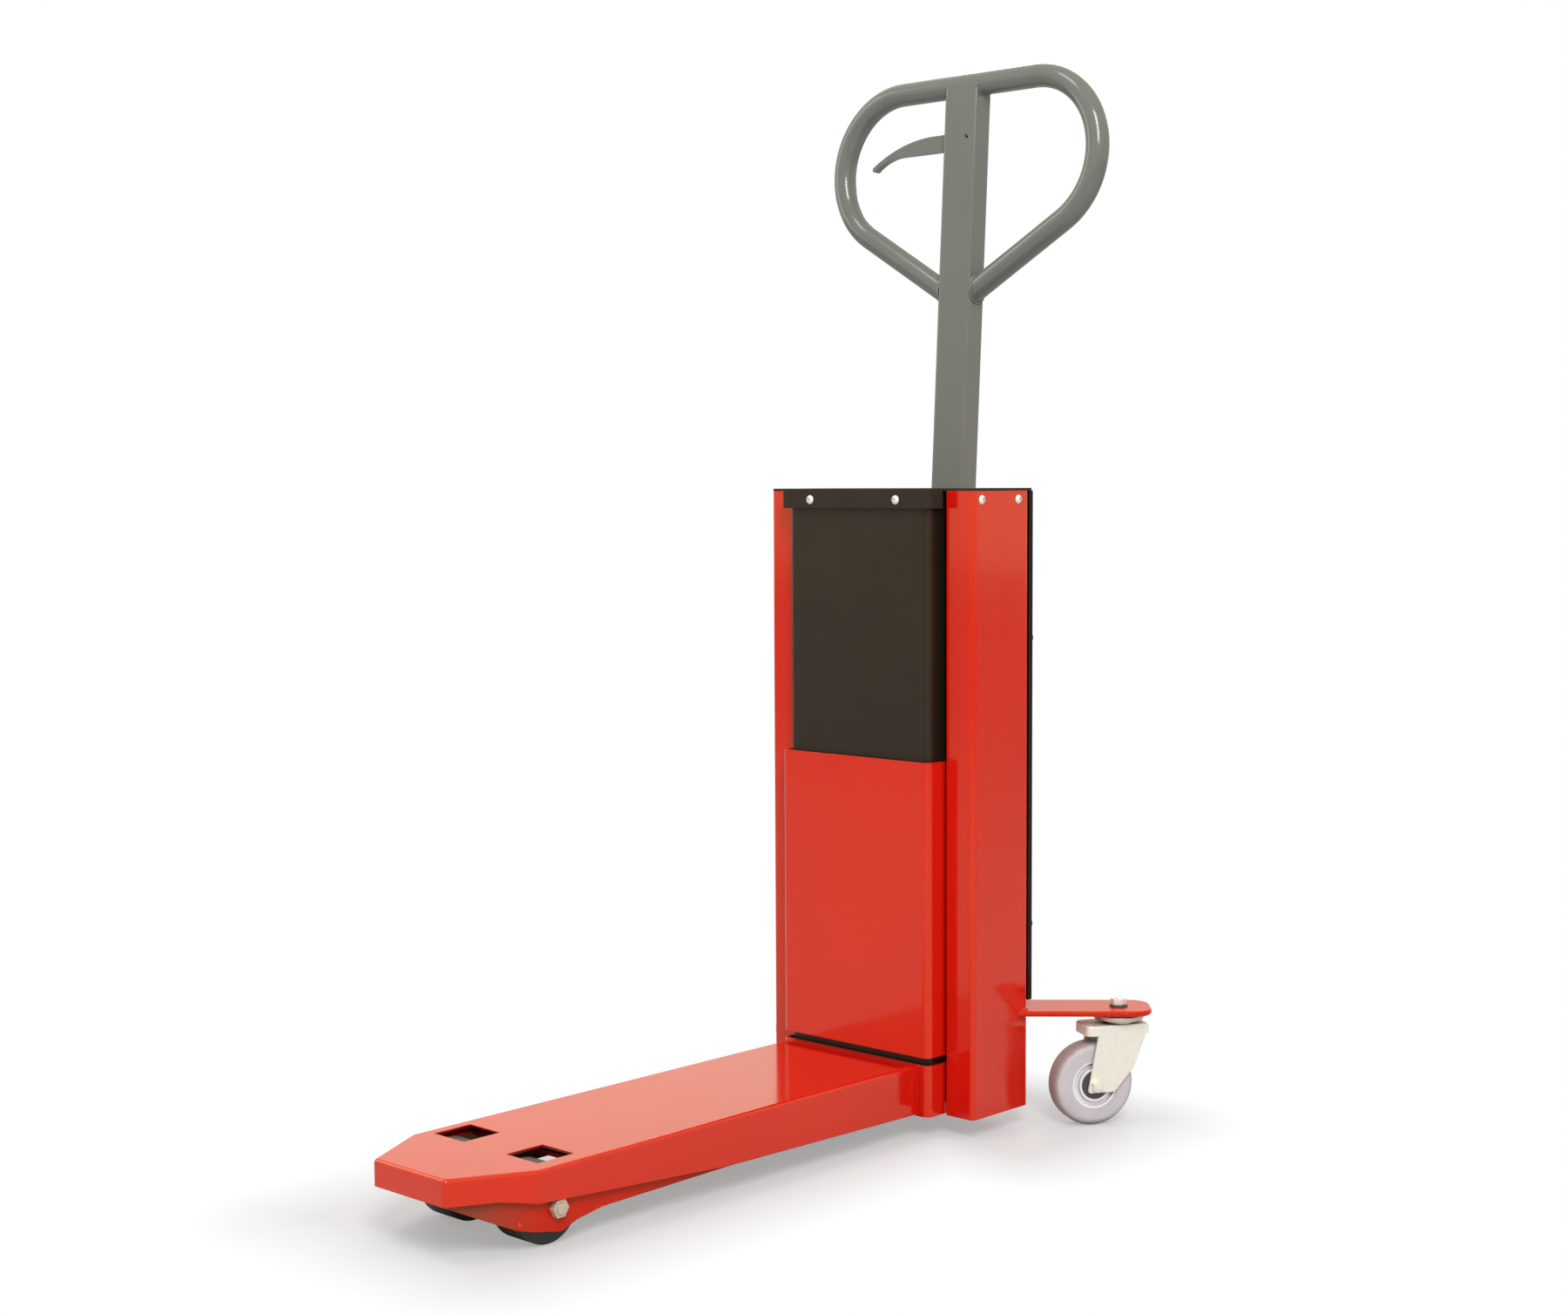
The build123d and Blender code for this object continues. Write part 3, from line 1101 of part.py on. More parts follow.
def roller_axle_nuts():
    nut = hexagon(AXLE_NUT_FLATS, AXLE_NUT_HEIGHT)
    nut -= Cylinder(AXLE_END_RADIUS + RUNNING_FIT, 4 * AXLE_NUT_HEIGHT)
    return both_sides(Pos(LEG_X, ROLLER_Y, ROLLER_RADIUS) * Rot(0, 90, 0) * Rot(0, 0, NUT_TURN) * nut)


def roller_spacer():
    """Tube on the axle that keeps the two rollers apart."""
    half = ROLLER_X - ROLLER_WIDTH / 2 - CUT - END_PLAY
    tube = Cylinder(ROLLER_BUSH_RADIUS, 2 * half) - Cylinder(AXLE_RADIUS + RUNNING_FIT, 4 * half)
    return Pos(0, ROLLER_Y, ROLLER_RADIUS) * Rot(0, 90, 0) * tube


def main():
    os.makedirs("parts", exist_ok=True)
    save("column_frame", column_frame())
    save("base_plate", base_plate())
    save("leg_frame", leg_frame())
    save("front_cover", front_cover())
    save("top_lid", top_lid())
    save("rear_cover", rear_cover())
    save("lid_screws", *lid_screws())
    save("rear_cover_screws", *rear_cover_screws())
    save("fork", fork())
    save("carriage_panel", carriage_panel())
    save("carriage_frame", carriage_frame())
    save("slide_pads", *slide_pads())
    save("carriage_bolts", *carriage_bolts())
    save("lift_ram", lift_ram())
    save("lift_cylinder", lift_cylinder())
    save("cylinder_gland", cylinder_gland())
    save("pump_body", pump_body())
    save("pump_plunger", pump_plunger())
    save("plunger_spring", plunger_spring())
    save("oil_tank", oil_tank())
    save("tank_plug", tank_plug())
    save("release_valve", release_valve())
    save("valve_arm", valve_arm())
    save("tiller_bracket", tiller_bracket())
    save("bracket_bolts", *bracket_bolts())
    save("tiller_pivot_pins", *tiller_pivot_pins())
    save("tiller_tube", tiller_tube())
    save("handle_loop", handle_loop())
    save("tiller_foot", tiller_foot())
    save("lever_pin", lever_pin())
    save("release_lever", release_lever())
    save("release_rod", release_rod())
    for name, side in (("right", 1), ("left", -1)):
        save(f"castor_arm_{name}", castor_arm(side))
        save(f"castor_fork_{name}", castor_fork(side))
        save(f"swivel_race_{name}", swivel_race(side))
        save(f"kingpin_{name}", kingpin(side))
        save(f"kingpin_nut_{name}", kingpin_nut(side))
        save(f"castor_tyre_{name}", castor_tyre(side))
        save(f"castor_hub_{name}", castor_hub(side))
        save(f"castor_bush_{name}", castor_bush(side))
        save(f"castor_axle_{name}", castor_axle(side))
        save(f"load_roller_{name}", load_roller(side))
        save(f"roller_bush_{name}", roller_bush(side))
    save("roller_axle", roller_axle())
    save("roller_axle_nuts", *roller_axle_nuts())
    save("roller_spacer", roller_spacer())


main()
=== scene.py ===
import json
import math

import bmesh
import bpy
from mathutils import Matrix, Vector


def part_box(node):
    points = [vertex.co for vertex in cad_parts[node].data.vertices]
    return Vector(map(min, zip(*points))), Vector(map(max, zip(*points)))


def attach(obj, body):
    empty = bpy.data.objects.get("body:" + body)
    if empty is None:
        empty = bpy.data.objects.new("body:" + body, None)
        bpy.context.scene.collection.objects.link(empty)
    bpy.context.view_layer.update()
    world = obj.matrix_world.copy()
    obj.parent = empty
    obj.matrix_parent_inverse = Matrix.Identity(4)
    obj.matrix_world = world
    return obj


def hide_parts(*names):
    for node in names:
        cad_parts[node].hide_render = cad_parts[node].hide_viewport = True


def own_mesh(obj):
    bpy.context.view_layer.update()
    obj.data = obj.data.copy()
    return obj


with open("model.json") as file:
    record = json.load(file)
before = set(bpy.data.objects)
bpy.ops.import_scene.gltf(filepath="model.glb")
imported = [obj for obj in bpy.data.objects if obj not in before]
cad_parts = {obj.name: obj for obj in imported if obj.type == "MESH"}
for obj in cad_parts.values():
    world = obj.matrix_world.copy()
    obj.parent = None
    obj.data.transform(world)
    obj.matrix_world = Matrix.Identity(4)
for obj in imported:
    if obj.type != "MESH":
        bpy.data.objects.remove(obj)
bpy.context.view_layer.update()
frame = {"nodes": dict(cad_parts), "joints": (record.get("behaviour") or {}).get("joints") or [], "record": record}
NODES = frame["nodes"]
JOINTS = {joint["name"]: joint for joint in frame["joints"]}

# Camera: place and reach in metres, yaw, pitch and roll in degrees, lens and sensor in millimetres
CAMERA_AT = Vector((1.88323, -1.91392, 0.76708))
CAMERA_YAW, CAMERA_PITCH, CAMERA_ROLL = 43.283, 4.199, -0.280
CAMERA_LENS, CAMERA_SENSOR = 55.206, 36.0
CAMERA_REACH = 60

# Sizes repeated from the part, in metres
PIVOT = Vector(JOINTS["tiller_pump"]["pos_m"])
TILLER_LEAN = math.radians(3.34)
TUBE_SIDE = 0.025
LOOP_HEIGHT, LOOP_RADIUS = 1.085, 0.014
LOOP_STRAIGHT, LOOP_CORNER, LOOP_FOOT = 0.208, 0.094, 0.835
COLUMN_SIDE, COLUMN_BEND = 0.159, 0.006
ARM_TOP, ARM_BOTTOM = 0.1395, 0.133
ARM_SIDE_START, ARM_REAR_END = 0.0823, 0.0824
KINGPIN_FLANGE = 0.002
SPRING_RADIUS, SPRING_WIRE, SPRING_TURNS = 0.017, 0.0015, 6

# Return spring's mesh: sides of the wire and steps in each turn
WIRE_SIDES, TURN_STEPS = 16, 48

# Rivet heads on the roller leg, in metres: the right one's place and the way it faces
RIVET_AT, RIVET_FACING = (0.0848, -0.3911, 0.0292), (0.8837, -0.4681, 0.0)
RIVET_RADIUS, RIVET_HEIGHT, RIVET_SINK = 0.0032, 0.0012, 0.0003
RIVET_SIDES, RIVET_ROWS = 28, 6

# Weld beads: mesh step and ripple pitch in metres, waviness in radians a metre
BEAD_STEP, BEAD_SIDES = 0.0005, 12
RIPPLE_PITCH, RIPPLE_JITTER, JITTER_RATE = 0.0026, 0.3, 310
SWELL_LEAST, SWELL_RIPPLE, SWELL_DRIFT, DRIFT_RATE = 0.88, 0.16, 0.05, 140
END_FADE, END_SWELL = 0.004, 0.25

# Handle's welds, in metres: bead radii, and how far the beads stand off the tube's side and the bar
FOOT_BEAD, HEAVY_BEAD, TOP_BEAD, FACE_BEAD = 0.0017, 0.0026, 0.0014, 0.0011
SIDE_OFF, FOOT_OFF, TOP_OFF = 0.0006, 0.0004, 0.0002
FOOT_POINTS, TOP_STEPS = 72, 48
HEAVY_STRETCH = slice(20, 34)
FACE_BEAD_HALF = 0.024

# Castor arms' welds, in metres: bead radius, stand-off and gaps to the ends of the seam
ARM_BEAD, ARM_OFF = 0.0022, 0.0005
ARM_FRONT_GAP, ARM_REAR_GAP = 0.006, 0.004
CORNER_STEPS = 12

# Surface detail, in metres: rounding of sharp edges, reach of the painted shade in gaps, and painted shade and
# marks by place
PAINT_EDGE, POWDER_EDGE, LID_EDGE = 0.0009, 0.0014, 0.002
PLATE_EDGE, MACHINED_EDGE, MOULDED_EDGE = 0.0008, 0.0006, 0.001
PAINT_GAP, LEG_GAP, TYRE_GAP, SMALL_GAP = 0.03, 0.08, 0.02, 0.012
HUB_SHADE_RADIUS, HUB_SHADE_FADE = 0.017, 0.0008
TREAD_START, TREAD_FULL, TREAD_WOBBLE = 0.0475, 0.0505, 0.004
FLANGE_MARGIN, FLANGE_FADE = 0.0002, 0.0004
TIP_SHADOW_FROM, TIP_SHADOW_FULL, TIP_SHADOW_WOBBLE = -0.355, -0.42, 0.02
INSIDE_SHADE_FROM, INSIDE_SHADE_FULL = -0.03, -0.06

# Node samples, and the values between which edges, gaps and noise go from none to full
BEVEL_SAMPLES, GAP_SAMPLES = 4, 6
EDGE_FLAT, EDGE_SHARP = 0.995, 0.8
GAP_OPEN, GAP_DEEP = 0.5, 0.12
NOISE_LOW, NOISE_HIGH = 0.3, 0.7

# Places of the colour sockets on Blender's Mix node
MIX_A, MIX_B, MIX_RESULT = 6, 7, 2

# Colours as red, green and blue in linear light
WHITE = (1.0, 1.0, 1.0)
AMBER_GLEAM, LEG_GLEAM, BROWN_GLEAM = (1.0, 0.85, 0.35), (1.0, 0.85, 0.3), (1.0, 0.84, 0.68)
TIP_SHADOW, INSIDE_SHADE = (0.17, 0.055, 0.04), (0.02, 0.004, 0.004)
FLANGE_DARK_AND_SHADE, HUB_RECESS_SHADE = (0.035, 0.02, 0.018), (0.016, 0.015, 0.015)
TYRE_WALL, TYRE_SHADE = (0.57, 0.53, 0.56), (0.51, 0.47, 0.50)
TYRE_TREAD, TYRE_GAP_SHADE = (0.34, 0.29, 0.27), (0.16, 0.15, 0.15)
FLOOR_TONE, FLOOR_SHADE = (0.60, 0.60, 0.60), (0.58, 0.58, 0.58)
MIRRORED_TONE, FILL_TONE = (1.0, 0.93, 0.76), (1.0, 0.99, 0.97)

# Surroundings: lamps and floor in metres and watts
FILL_STRENGTH = 0.64
LAMPS = {
    "key": {"at": (2.4, -1.8, 2.9), "to": (0, 0.1, 0.6), "wide": 1.0, "high": 1.8, "power": 98},
    "left": {"at": (-3.2, -1.6, 2.2), "to": (0, 0, 0.5), "wide": 1.2, "high": 2.4, "power": 22},
    "top": {"at": (-0.4, -1.2, 3.4), "to": (0, 0, 0.3), "wide": 0.8, "high": 0.8, "power": 13},
    "back": {"at": (-1.4, 3.0, 2.4), "to": (0, 0.2, 0.5), "wide": 1.4, "high": 1.4, "power": 25},
}
FLOOR_HALF = 14

# The truck's shadow on the floor: boxes under it as centre and half size, reach, and white share within
FOOTPRINT = (
    ((-0.03, -0.05, 0.0), (0.14, 0.40, 0.0)),
    ((0.0, 0.33, 0.0), (0.24, 0.10, 0.0)),
)
SHADOW_REACH, SHADOW_WHITE = 0.13, 0.35


class Graph:
    """Builds one node material: each call adds nodes and returns an output of the last one."""

    def __init__(self, name):
        self.material = bpy.data.materials.new(name)
        self.material.use_nodes = True
        self.tree = self.material.node_tree
        self.tree.nodes.clear()
        self.output = self.tree.nodes.new("ShaderNodeOutputMaterial")
        self.place = self.add("ShaderNodeTexCoord").outputs["Object"]

    def add(self, kind, **settings):
        node = self.tree.nodes.new(kind)
        for key, value in settings.items():
            setattr(node, key, value)
        return node

    def feed(self, socket, value):
        if isinstance(value, bpy.types.NodeSocket):
            self.tree.links.new(value, socket)
        elif isinstance(value, tuple) and len(value) == 3 and socket.type == "RGBA":
            socket.default_value = (*value, 1.0)
        else:
            socket.default_value = value

    def noise(self, scale, detail=3.0, rough=0.5, place=None):
        node = self.add("ShaderNodeTexNoise")
        self.feed(node.inputs["Vector"], place or self.place)
        self.feed(node.inputs["Scale"], scale)
        self.feed(node.inputs["Detail"], detail)
        self.feed(node.inputs["Roughness"], rough)
        return node.outputs["Fac"]

    def stretched(self, x, y, z):
        node = self.add("ShaderNodeMapping")
        self.feed(node.inputs["Vector"], self.place)
        node.inputs["Scale"].default_value = (x, y, z)
        return node.outputs["Vector"]

    def part(self, axis, vector=None):
        node = self.add("ShaderNodeSeparateXYZ")
        self.feed(node.inputs[0], vector or self.place)
        return node.outputs[axis]

    def ramp(self, value, low, high, start=0.0, end=1.0):
        node = self.add("ShaderNodeMapRange")
        self.feed(node.inputs["Value"], value)
        self.feed(node.inputs["From Min"], low)
        self.feed(node.inputs["From Max"], high)
        self.feed(node.inputs["To Min"], start)
        self.feed(node.inputs["To Max"], end)
        return node.outputs["Result"]

    def spread(self, noise, start=0.0, end=1.0):
        """A noise drawn out to run from start to end."""
        return self.ramp(noise, NOISE_LOW, NOISE_HIGH, start, end)

    def haze(self, noise, roughness, below, above, high=NOISE_HIGH):
        """Roughness that wanders with a noise, from a little below its middle value to a little above."""
        return self.ramp(noise, NOISE_LOW, high, roughness - below, roughness + above)

    def math(self, operation, a, b):
        node = self.add("ShaderNodeMath", operation=operation)
        self.feed(node.inputs[0], a)
        self.feed(node.inputs[1], b)
        return node.outputs[0]

    def times(self, a, b):
        return self.math("MULTIPLY", a, b)

    def partly(self, mask, amount):
        """A mask at part of its strength."""
        return self.times(mask, amount)

    def vector(self, operation, a, b=(0.0, 0.0, 0.0)):
        node = self.add("ShaderNodeVectorMath", operation=operation)
        self.feed(node.inputs[0], a)
        self.feed(node.inputs[1], b)
        return node.outputs["Value" if operation in ("DOT_PRODUCT", "LENGTH") else "Vector"]

    def from_axle(self, centre, axis):
        """Distance from a wheel's axle."""
        arm = self.vector("SUBTRACT", self.place, centre)
        return self.vector("LENGTH", self.vector("CROSS_PRODUCT", arm, axis))

    def mix(self, factor, a, b):
        node = self.add("ShaderNodeMix", data_type="RGBA")
        self.feed(node.inputs["Factor"], factor)
        self.feed(node.inputs[MIX_A], a)
        self.feed(node.inputs[MIX_B], b)
        return node.outputs[MIX_RESULT]

    def rounded(self, radius):
        """The surface normal with sharp edges rounded off."""
        bevel = self.add("ShaderNodeBevel", samples=BEVEL_SAMPLES)
        self.feed(bevel.inputs["Radius"], radius)
        return bevel.outputs["Normal"]

    def edges(self, soft):
        """1 on sharp edges and corners, 0 on open faces, told by the rounded normal."""
        flat = self.add("ShaderNodeNewGeometry").outputs["Normal"]
        return self.ramp(self.vector("DOT_PRODUCT", soft, flat), EDGE_FLAT, EDGE_SHARP)

    def crevice(self, reach, shallow=GAP_OPEN, deep=GAP_DEEP):
        """Mask for painted shade: 1 deep in gaps and corners, 0 on open faces."""
        node = self.add("ShaderNodeAmbientOcclusion", samples=GAP_SAMPLES)
        self.feed(node.inputs["Distance"], reach)
        return self.ramp(node.outputs["AO"], shallow, deep)

    def bump(self, height, strength, distance, normal=None):
        node = self.add("ShaderNodeBump")
        self.feed(node.inputs["Height"], height)
        self.feed(node.inputs["Strength"], strength)
        self.feed(node.inputs["Distance"], distance)
        if normal:
            self.feed(node.inputs["Normal"], normal)
        return node.outputs["Normal"]

    def finish(self, **inputs):
        shader = self.add("ShaderNodeBsdfPrincipled")
        for name, value in inputs.items():
            self.feed(shader.inputs[name.replace("_", " ")], value)
        self.tree.links.new(shader.outputs["BSDF"], self.output.inputs["Surface"])
        return self.material


def toned(colour, factor, lift=0.0):
    """A lighter or darker tone of a colour."""
    return tuple(min(1.0, c * factor + lift) for c in colour)


def leg_painted_shade(g, base):
    """Painted shadow, brown, towards the leg's tip under the fork's overhang, and painted shade on faces that look
    inward.
    """
    # Painted shadow: brown darkening towards the leg's tip, where the fork overhangs.
    uneven = g.times(g.noise(scale=40.0, detail=4.0, rough=0.6), TIP_SHADOW_WOBBLE)
    along = g.math("ADD", g.part("Y"), uneven)
    base = g.mix(g.ramp(along, TIP_SHADOW_FROM, TIP_SHADOW_FULL, start=0.0, end=0.75), base, TIP_SHADOW)
    # Painted shade: faces that look inward, into the leg, darkened nearly to black.
    facing = g.part("X", g.add("ShaderNodeTexCoord").outputs["Normal"])
    inward = g.times(g.part("X"), facing)
    return g.mix(g.ramp(inward, INSIDE_SHADE_FROM, INSIDE_SHADE_FULL, start=0.0, end=0.92), base, INSIDE_SHADE)


def paint(name, colour, shade, roughness, peel, coat, level, gleam=WHITE, gap=PAINT_GAP, painted_shade=None):
    """Sprayed enamel: orange peel, faint cloudiness, rub marks on edges, and painted shade in gaps."""
    g = Graph(name)
    soft = g.rounded(PAINT_EDGE)
    cloud = g.noise(scale=6.0, detail=4.0)
    base = g.mix(g.ramp(cloud, low=0.35, high=0.7), colour, shade)
    speck = g.ramp(g.noise(scale=90.0, detail=4.0, rough=0.65), low=0.5, high=0.72)
    rub = g.times(g.edges(soft), speck)
    base = g.mix(g.partly(rub, amount=0.5), base, toned(colour, factor=1.4, lift=0.03))
    # Painted shade: gaps and corners darkened towards a deep red.
    base = g.mix(g.partly(g.crevice(gap), amount=0.95), base, toned(colour, factor=0.12))
    # Extra painted shadow and shade for one material, if given.
    if painted_shade:
        base = painted_shade(g, base)
    fine = g.noise(scale=420.0, detail=2.0)
    mist = g.noise(scale=38.0, detail=5.0, rough=0.6)
    haze = g.haze(mist, roughness, below=0.03, above=0.05, high=0.75)
    return g.finish(
        Base_Color=base, Roughness=haze, Normal=g.bump(fine, strength=peel, distance=0.0004, normal=soft),
        Coat_Weight=coat, Coat_Roughness=0.05, Specular_IOR_Level=level, Specular_Tint=gleam,
    )


def powder(name, colour, shade, roughness, level, gleam=WHITE, edge=POWDER_EDGE):
    """Satin powder coat: fine pebbled skin with slightly greyer edges, part wear and part painted highlight."""
    g = Graph(name)
    soft = g.rounded(edge)
    tint = g.mix(g.spread(g.noise(scale=9.0, detail=4.0)), colour, shade)
    # Edges lightened: partly wear, partly a painted highlight along the edge.
    wear_and_highlight = g.times(g.edges(soft), g.ramp(g.noise(scale=120.0), low=0.4, high=0.65))
    tint = g.mix(g.partly(wear_and_highlight, amount=0.4), tint, toned(colour, factor=3.0, lift=0.05))
    pebble = g.noise(scale=900.0, detail=2.0, rough=0.6)
    haze = g.haze(g.noise(scale=30.0, detail=4.0), roughness, below=0.04, above=0.06)
    return g.finish(
        Base_Color=tint, Roughness=haze, Normal=g.bump(pebble, strength=0.12, distance=0.0003, normal=soft),
        Specular_IOR_Level=level, Specular_Tint=gleam,
    )


def plated(name, colour, shade, roughness, metal=0.3, dark_and_shaded_below=None):
    """Zinc plate: cloudy bright passivate with fine scratches, painted shade in gaps, and a dark band below a
    given height, part dark finish and part painted shade.
    """
    g = Graph(name)
    soft = g.rounded(PLATE_EDGE)
    spangle = g.noise(scale=160.0, detail=5.0, rough=0.7)
    tint = g.mix(g.ramp(spangle, NOISE_LOW, high=0.75), colour, shade)
    # Painted shade: gaps and corners darkened.
    tint = g.mix(g.partly(g.crevice(SMALL_GAP), amount=0.85), tint, toned(colour, factor=0.2))
    # Below the given height, darkened: partly a dark finish on the flange, partly painted shade at the nut's base.
    if dark_and_shaded_below:
        low = g.ramp(g.part("Z"), dark_and_shaded_below, dark_and_shaded_below + FLANGE_FADE, start=0.92, end=0.0)
        tint = g.mix(low, tint, FLANGE_DARK_AND_SHADE)
    scratch = g.noise(scale=260.0, rough=0.7, place=g.stretched(x=1.0, y=1.0, z=12.0))
    haze = g.haze(scratch, roughness, below=0.08, above=0.12)
    return g.finish(
        Base_Color=tint, Metallic=metal, Roughness=haze,
        Normal=g.bump(scratch, strength=0.06, distance=0.0002, normal=soft),
    )


def machined(name, colour, roughness):
    """Turned or ground metal with a fine drawn grain."""
    g = Graph(name)
    soft = g.rounded(MACHINED_EDGE)
    grain = g.noise(scale=300.0, detail=4.0, rough=0.7, place=g.stretched(x=1.0, y=6.0, z=6.0))
    tint = g.mix(g.spread(grain), colour, toned(colour, factor=0.8))
    haze = g.haze(grain, roughness, below=0.06, above=0.1)
    return g.finish(
        Base_Color=tint, Metallic=1.0, Roughness=haze,
        Normal=g.bump(grain, strength=0.05, distance=0.0002, normal=soft),
    )


def moulded(name, colour, shade, roughness, pits, axle=None):
    """Moulded plastic with a little dust, painted shade in gaps, and, if an axle is given, painted shade round it
    in the hub's recess.
    """
    g = Graph(name)
    soft = g.rounded(MOULDED_EDGE)
    tint = g.mix(g.spread(g.noise(scale=24.0, detail=4.0)), colour, shade)
    dust = g.ramp(g.noise(scale=70.0, detail=5.0, rough=0.7), low=0.5, high=0.8)
    tint = g.mix(g.partly(dust, amount=0.25), tint, toned(colour, factor=1.4, lift=0.02))
    # Painted shade: gaps and corners darkened.
    tint = g.mix(g.partly(g.crevice(SMALL_GAP), amount=0.8), tint, toned(colour, factor=0.25))
    # Painted shade: a near-black disc round the axle, for the hub's shaded recess.
    if axle:
        recess_shade = g.ramp(g.from_axle(*axle), HUB_SHADE_RADIUS, HUB_SHADE_RADIUS + HUB_SHADE_FADE, start=0.95, end=0.0)
        tint = g.mix(recess_shade, tint, HUB_RECESS_SHADE)
    skin = g.noise(scale=700.0, rough=0.6)
    haze = g.haze(skin, roughness, below=0.05, above=0.08)
    return g.finish(
        Base_Color=tint, Roughness=haze, Normal=g.bump(skin, strength=pits, distance=0.0003, normal=soft)
    )


def tyre_rubber(name, axle):
    """Grey castor tyre: paler side walls, a browner and darker tread picked out by radius, partly its own tone and
    partly painted shade, and painted shade in gaps.
    """
    g = Graph(name)
    wobble = g.times(g.noise(scale=60.0, detail=4.0), TREAD_WOBBLE)
    # Tread: browner and darker, partly its own tone, partly painted shade.
    tread = g.ramp(g.math("ADD", g.from_axle(*axle), wobble), TREAD_START, TREAD_FULL)
    wall = g.mix(g.spread(g.noise(scale=30.0, detail=4.0)), TYRE_WALL, TYRE_SHADE)
    tint = g.mix(tread, wall, TYRE_TREAD)
    # Painted shade: gaps and corners darkened.
    gap = g.crevice(TYRE_GAP, shallow=0.7, deep=0.25)
    tint = g.mix(g.partly(gap, amount=0.7), tint, TYRE_GAP_SHADE)
    grain = g.noise(scale=600.0)
    haze = g.spread(grain, start=0.5, end=0.66)
    return g.finish(Base_Color=tint, Roughness=haze, Normal=g.bump(grain, strength=0.12, distance=0.0003))


RED = paint(
    "red_enamel", colour=(0.64, 0.006, 0.002), shade=(0.61, 0.005, 0.0018),
    roughness=0.12, peel=0.03, coat=0.35, level=0.6, gleam=AMBER_GLEAM,
)
# The leg: a wider reach of painted shade in gaps, painted shadow towards the tip and painted shade inside.
LEG_RED = paint(
    "red_leg", colour=(0.60, 0.009, 0.004), shade=(0.55, 0.007, 0.003),
    roughness=0.2, peel=0.04, coat=0.0, level=0.4, gleam=LEG_GLEAM, gap=LEG_GAP, painted_shade=leg_painted_shade,
)
ARM_RED = paint(
    "red_arm", colour=(0.60, 0.007, 0.003), shade=(0.56, 0.006, 0.002),
    roughness=0.2, peel=0.04, coat=0.0, level=0.35, gleam=AMBER_GLEAM,
)
GREY = paint(
    "grey_enamel", colour=(0.150, 0.151, 0.136), shade=(0.138, 0.139, 0.126),
    roughness=0.15, peel=0.04, coat=0.15, level=0.4,
)
BLACK = powder(
    "black_powder", colour=(0.016, 0.010, 0.006), shade=(0.012, 0.008, 0.005),
    roughness=0.36, level=0.4, gleam=BROWN_GLEAM,
)
LID = powder(
    "black_powder_lid", colour=(0.023, 0.016, 0.012), shade=(0.019, 0.014, 0.010),
    roughness=0.7, level=0.3, gleam=BROWN_GLEAM, edge=LID_EDGE,
)
REAR = powder(
    "black_powder_rear", colour=(0.008, 0.004, 0.003), shade=(0.006, 0.003, 0.002),
    roughness=0.5, level=0.2, gleam=BROWN_GLEAM,
)
IRON = powder(
    "cast_housing", colour=(0.09, 0.09, 0.09), shade=(0.07, 0.07, 0.07), roughness=0.55, level=0.5
)
ZINC_LOOK = {"colour": (0.88, 0.86, 0.77), "shade": (0.78, 0.76, 0.66), "roughness": 0.36}
ZINC = plated("zinc_plate", **ZINC_LOOK)
# Kingpin nuts: the flange at their base darkened, partly as painted shade.
FLANGED = plated("zinc_flange_nut", **ZINC_LOOK, dark_and_shaded_below=ARM_TOP + KINGPIN_FLANGE + FLANGE_MARGIN)
RACE = plated(
    "zinc_race", colour=(0.68, 0.59, 0.53), shade=(0.56, 0.48, 0.43), roughness=0.45, metal=0.9
)
NUT = plated("yellow_zinc", colour=(0.64, 0.53, 0.40), shade=(0.54, 0.44, 0.32), roughness=0.4)
STEEL = machined("machined_steel", colour=(0.52, 0.52, 0.51), roughness=0.32)
CHROME = machined("hard_chrome", colour=(0.80, 0.80, 0.80), roughness=0.12)
ROLLER = moulded(
    "roller_black", colour=(0.026, 0.025, 0.023), shade=(0.020, 0.019, 0.018), roughness=0.42, pits=0.15
)
BEARING = moulded(
    "bearing_polyamide", colour=(0.72, 0.70, 0.62), shade=(0.66, 0.64, 0.57), roughness=0.5, pits=0.1
)
HUB_LOOK = {"colour": (0.88, 0.85, 0.88), "shade": (0.80, 0.77, 0.80), "roughness": 0.45, "pits": 0.1}

# Finish of each material slot, and of the nodes that differ from their slot
SLOTS = {
    "red_paint": RED, "grey_paint": GREY, "black_paint": BLACK, "zinc": ZINC, "steel": STEEL,
    "chrome": CHROME, "cast_iron": IRON, "roller_black": ROLLER, "bearing_plastic": BEARING,
}
SPECIAL = {
    "top_lid": LID, "rear_cover": REAR, "leg_frame": LEG_RED,
    "roller_axle": NUT, "roller_axle_nuts": NUT,
    "swivel_race_left": RACE, "swivel_race_right": RACE,
    "kingpin_nut_left": FLANGED, "kingpin_nut_right": FLANGED,
    "castor_arm_left": ARM_RED, "castor_arm_right": ARM_RED,
}


def wheel_finish(name, slot):
    """Finish of a castor's tyre or hub, drawn round that castor's own axle."""
    side = name.rsplit("_", 1)[1]
    joint = JOINTS[f"castor_roll_{side}"]
    axle = tuple(joint["pos_m"]), tuple(joint["axis"])
    if slot == "tyre_grey":
        return tyre_rubber(f"tyre_rubber_{side}", axle)
    return moulded(f"hub_polyamide_{side}", **HUB_LOOK, axle=axle)


def dress_nodes():
    """Gives every CAD node its finish."""
    for part in frame["record"]["subparts"]:
        name, slot = part["node"], part["material_slot"]
        if slot in ("tyre_grey", "hub_plastic"):
            material = wheel_finish(name, slot)
        else:
            material = SPECIAL.get(name, SLOTS[slot])
        NODES[name].data.materials.clear()
        NODES[name].data.materials.append(material)


def to_tiller(point):
    """A point of the upright tiller, moved to where the tiller leans at rest."""
    return PIVOT + Matrix.Rotation(-TILLER_LEAN, 3, "X") @ Vector(point)


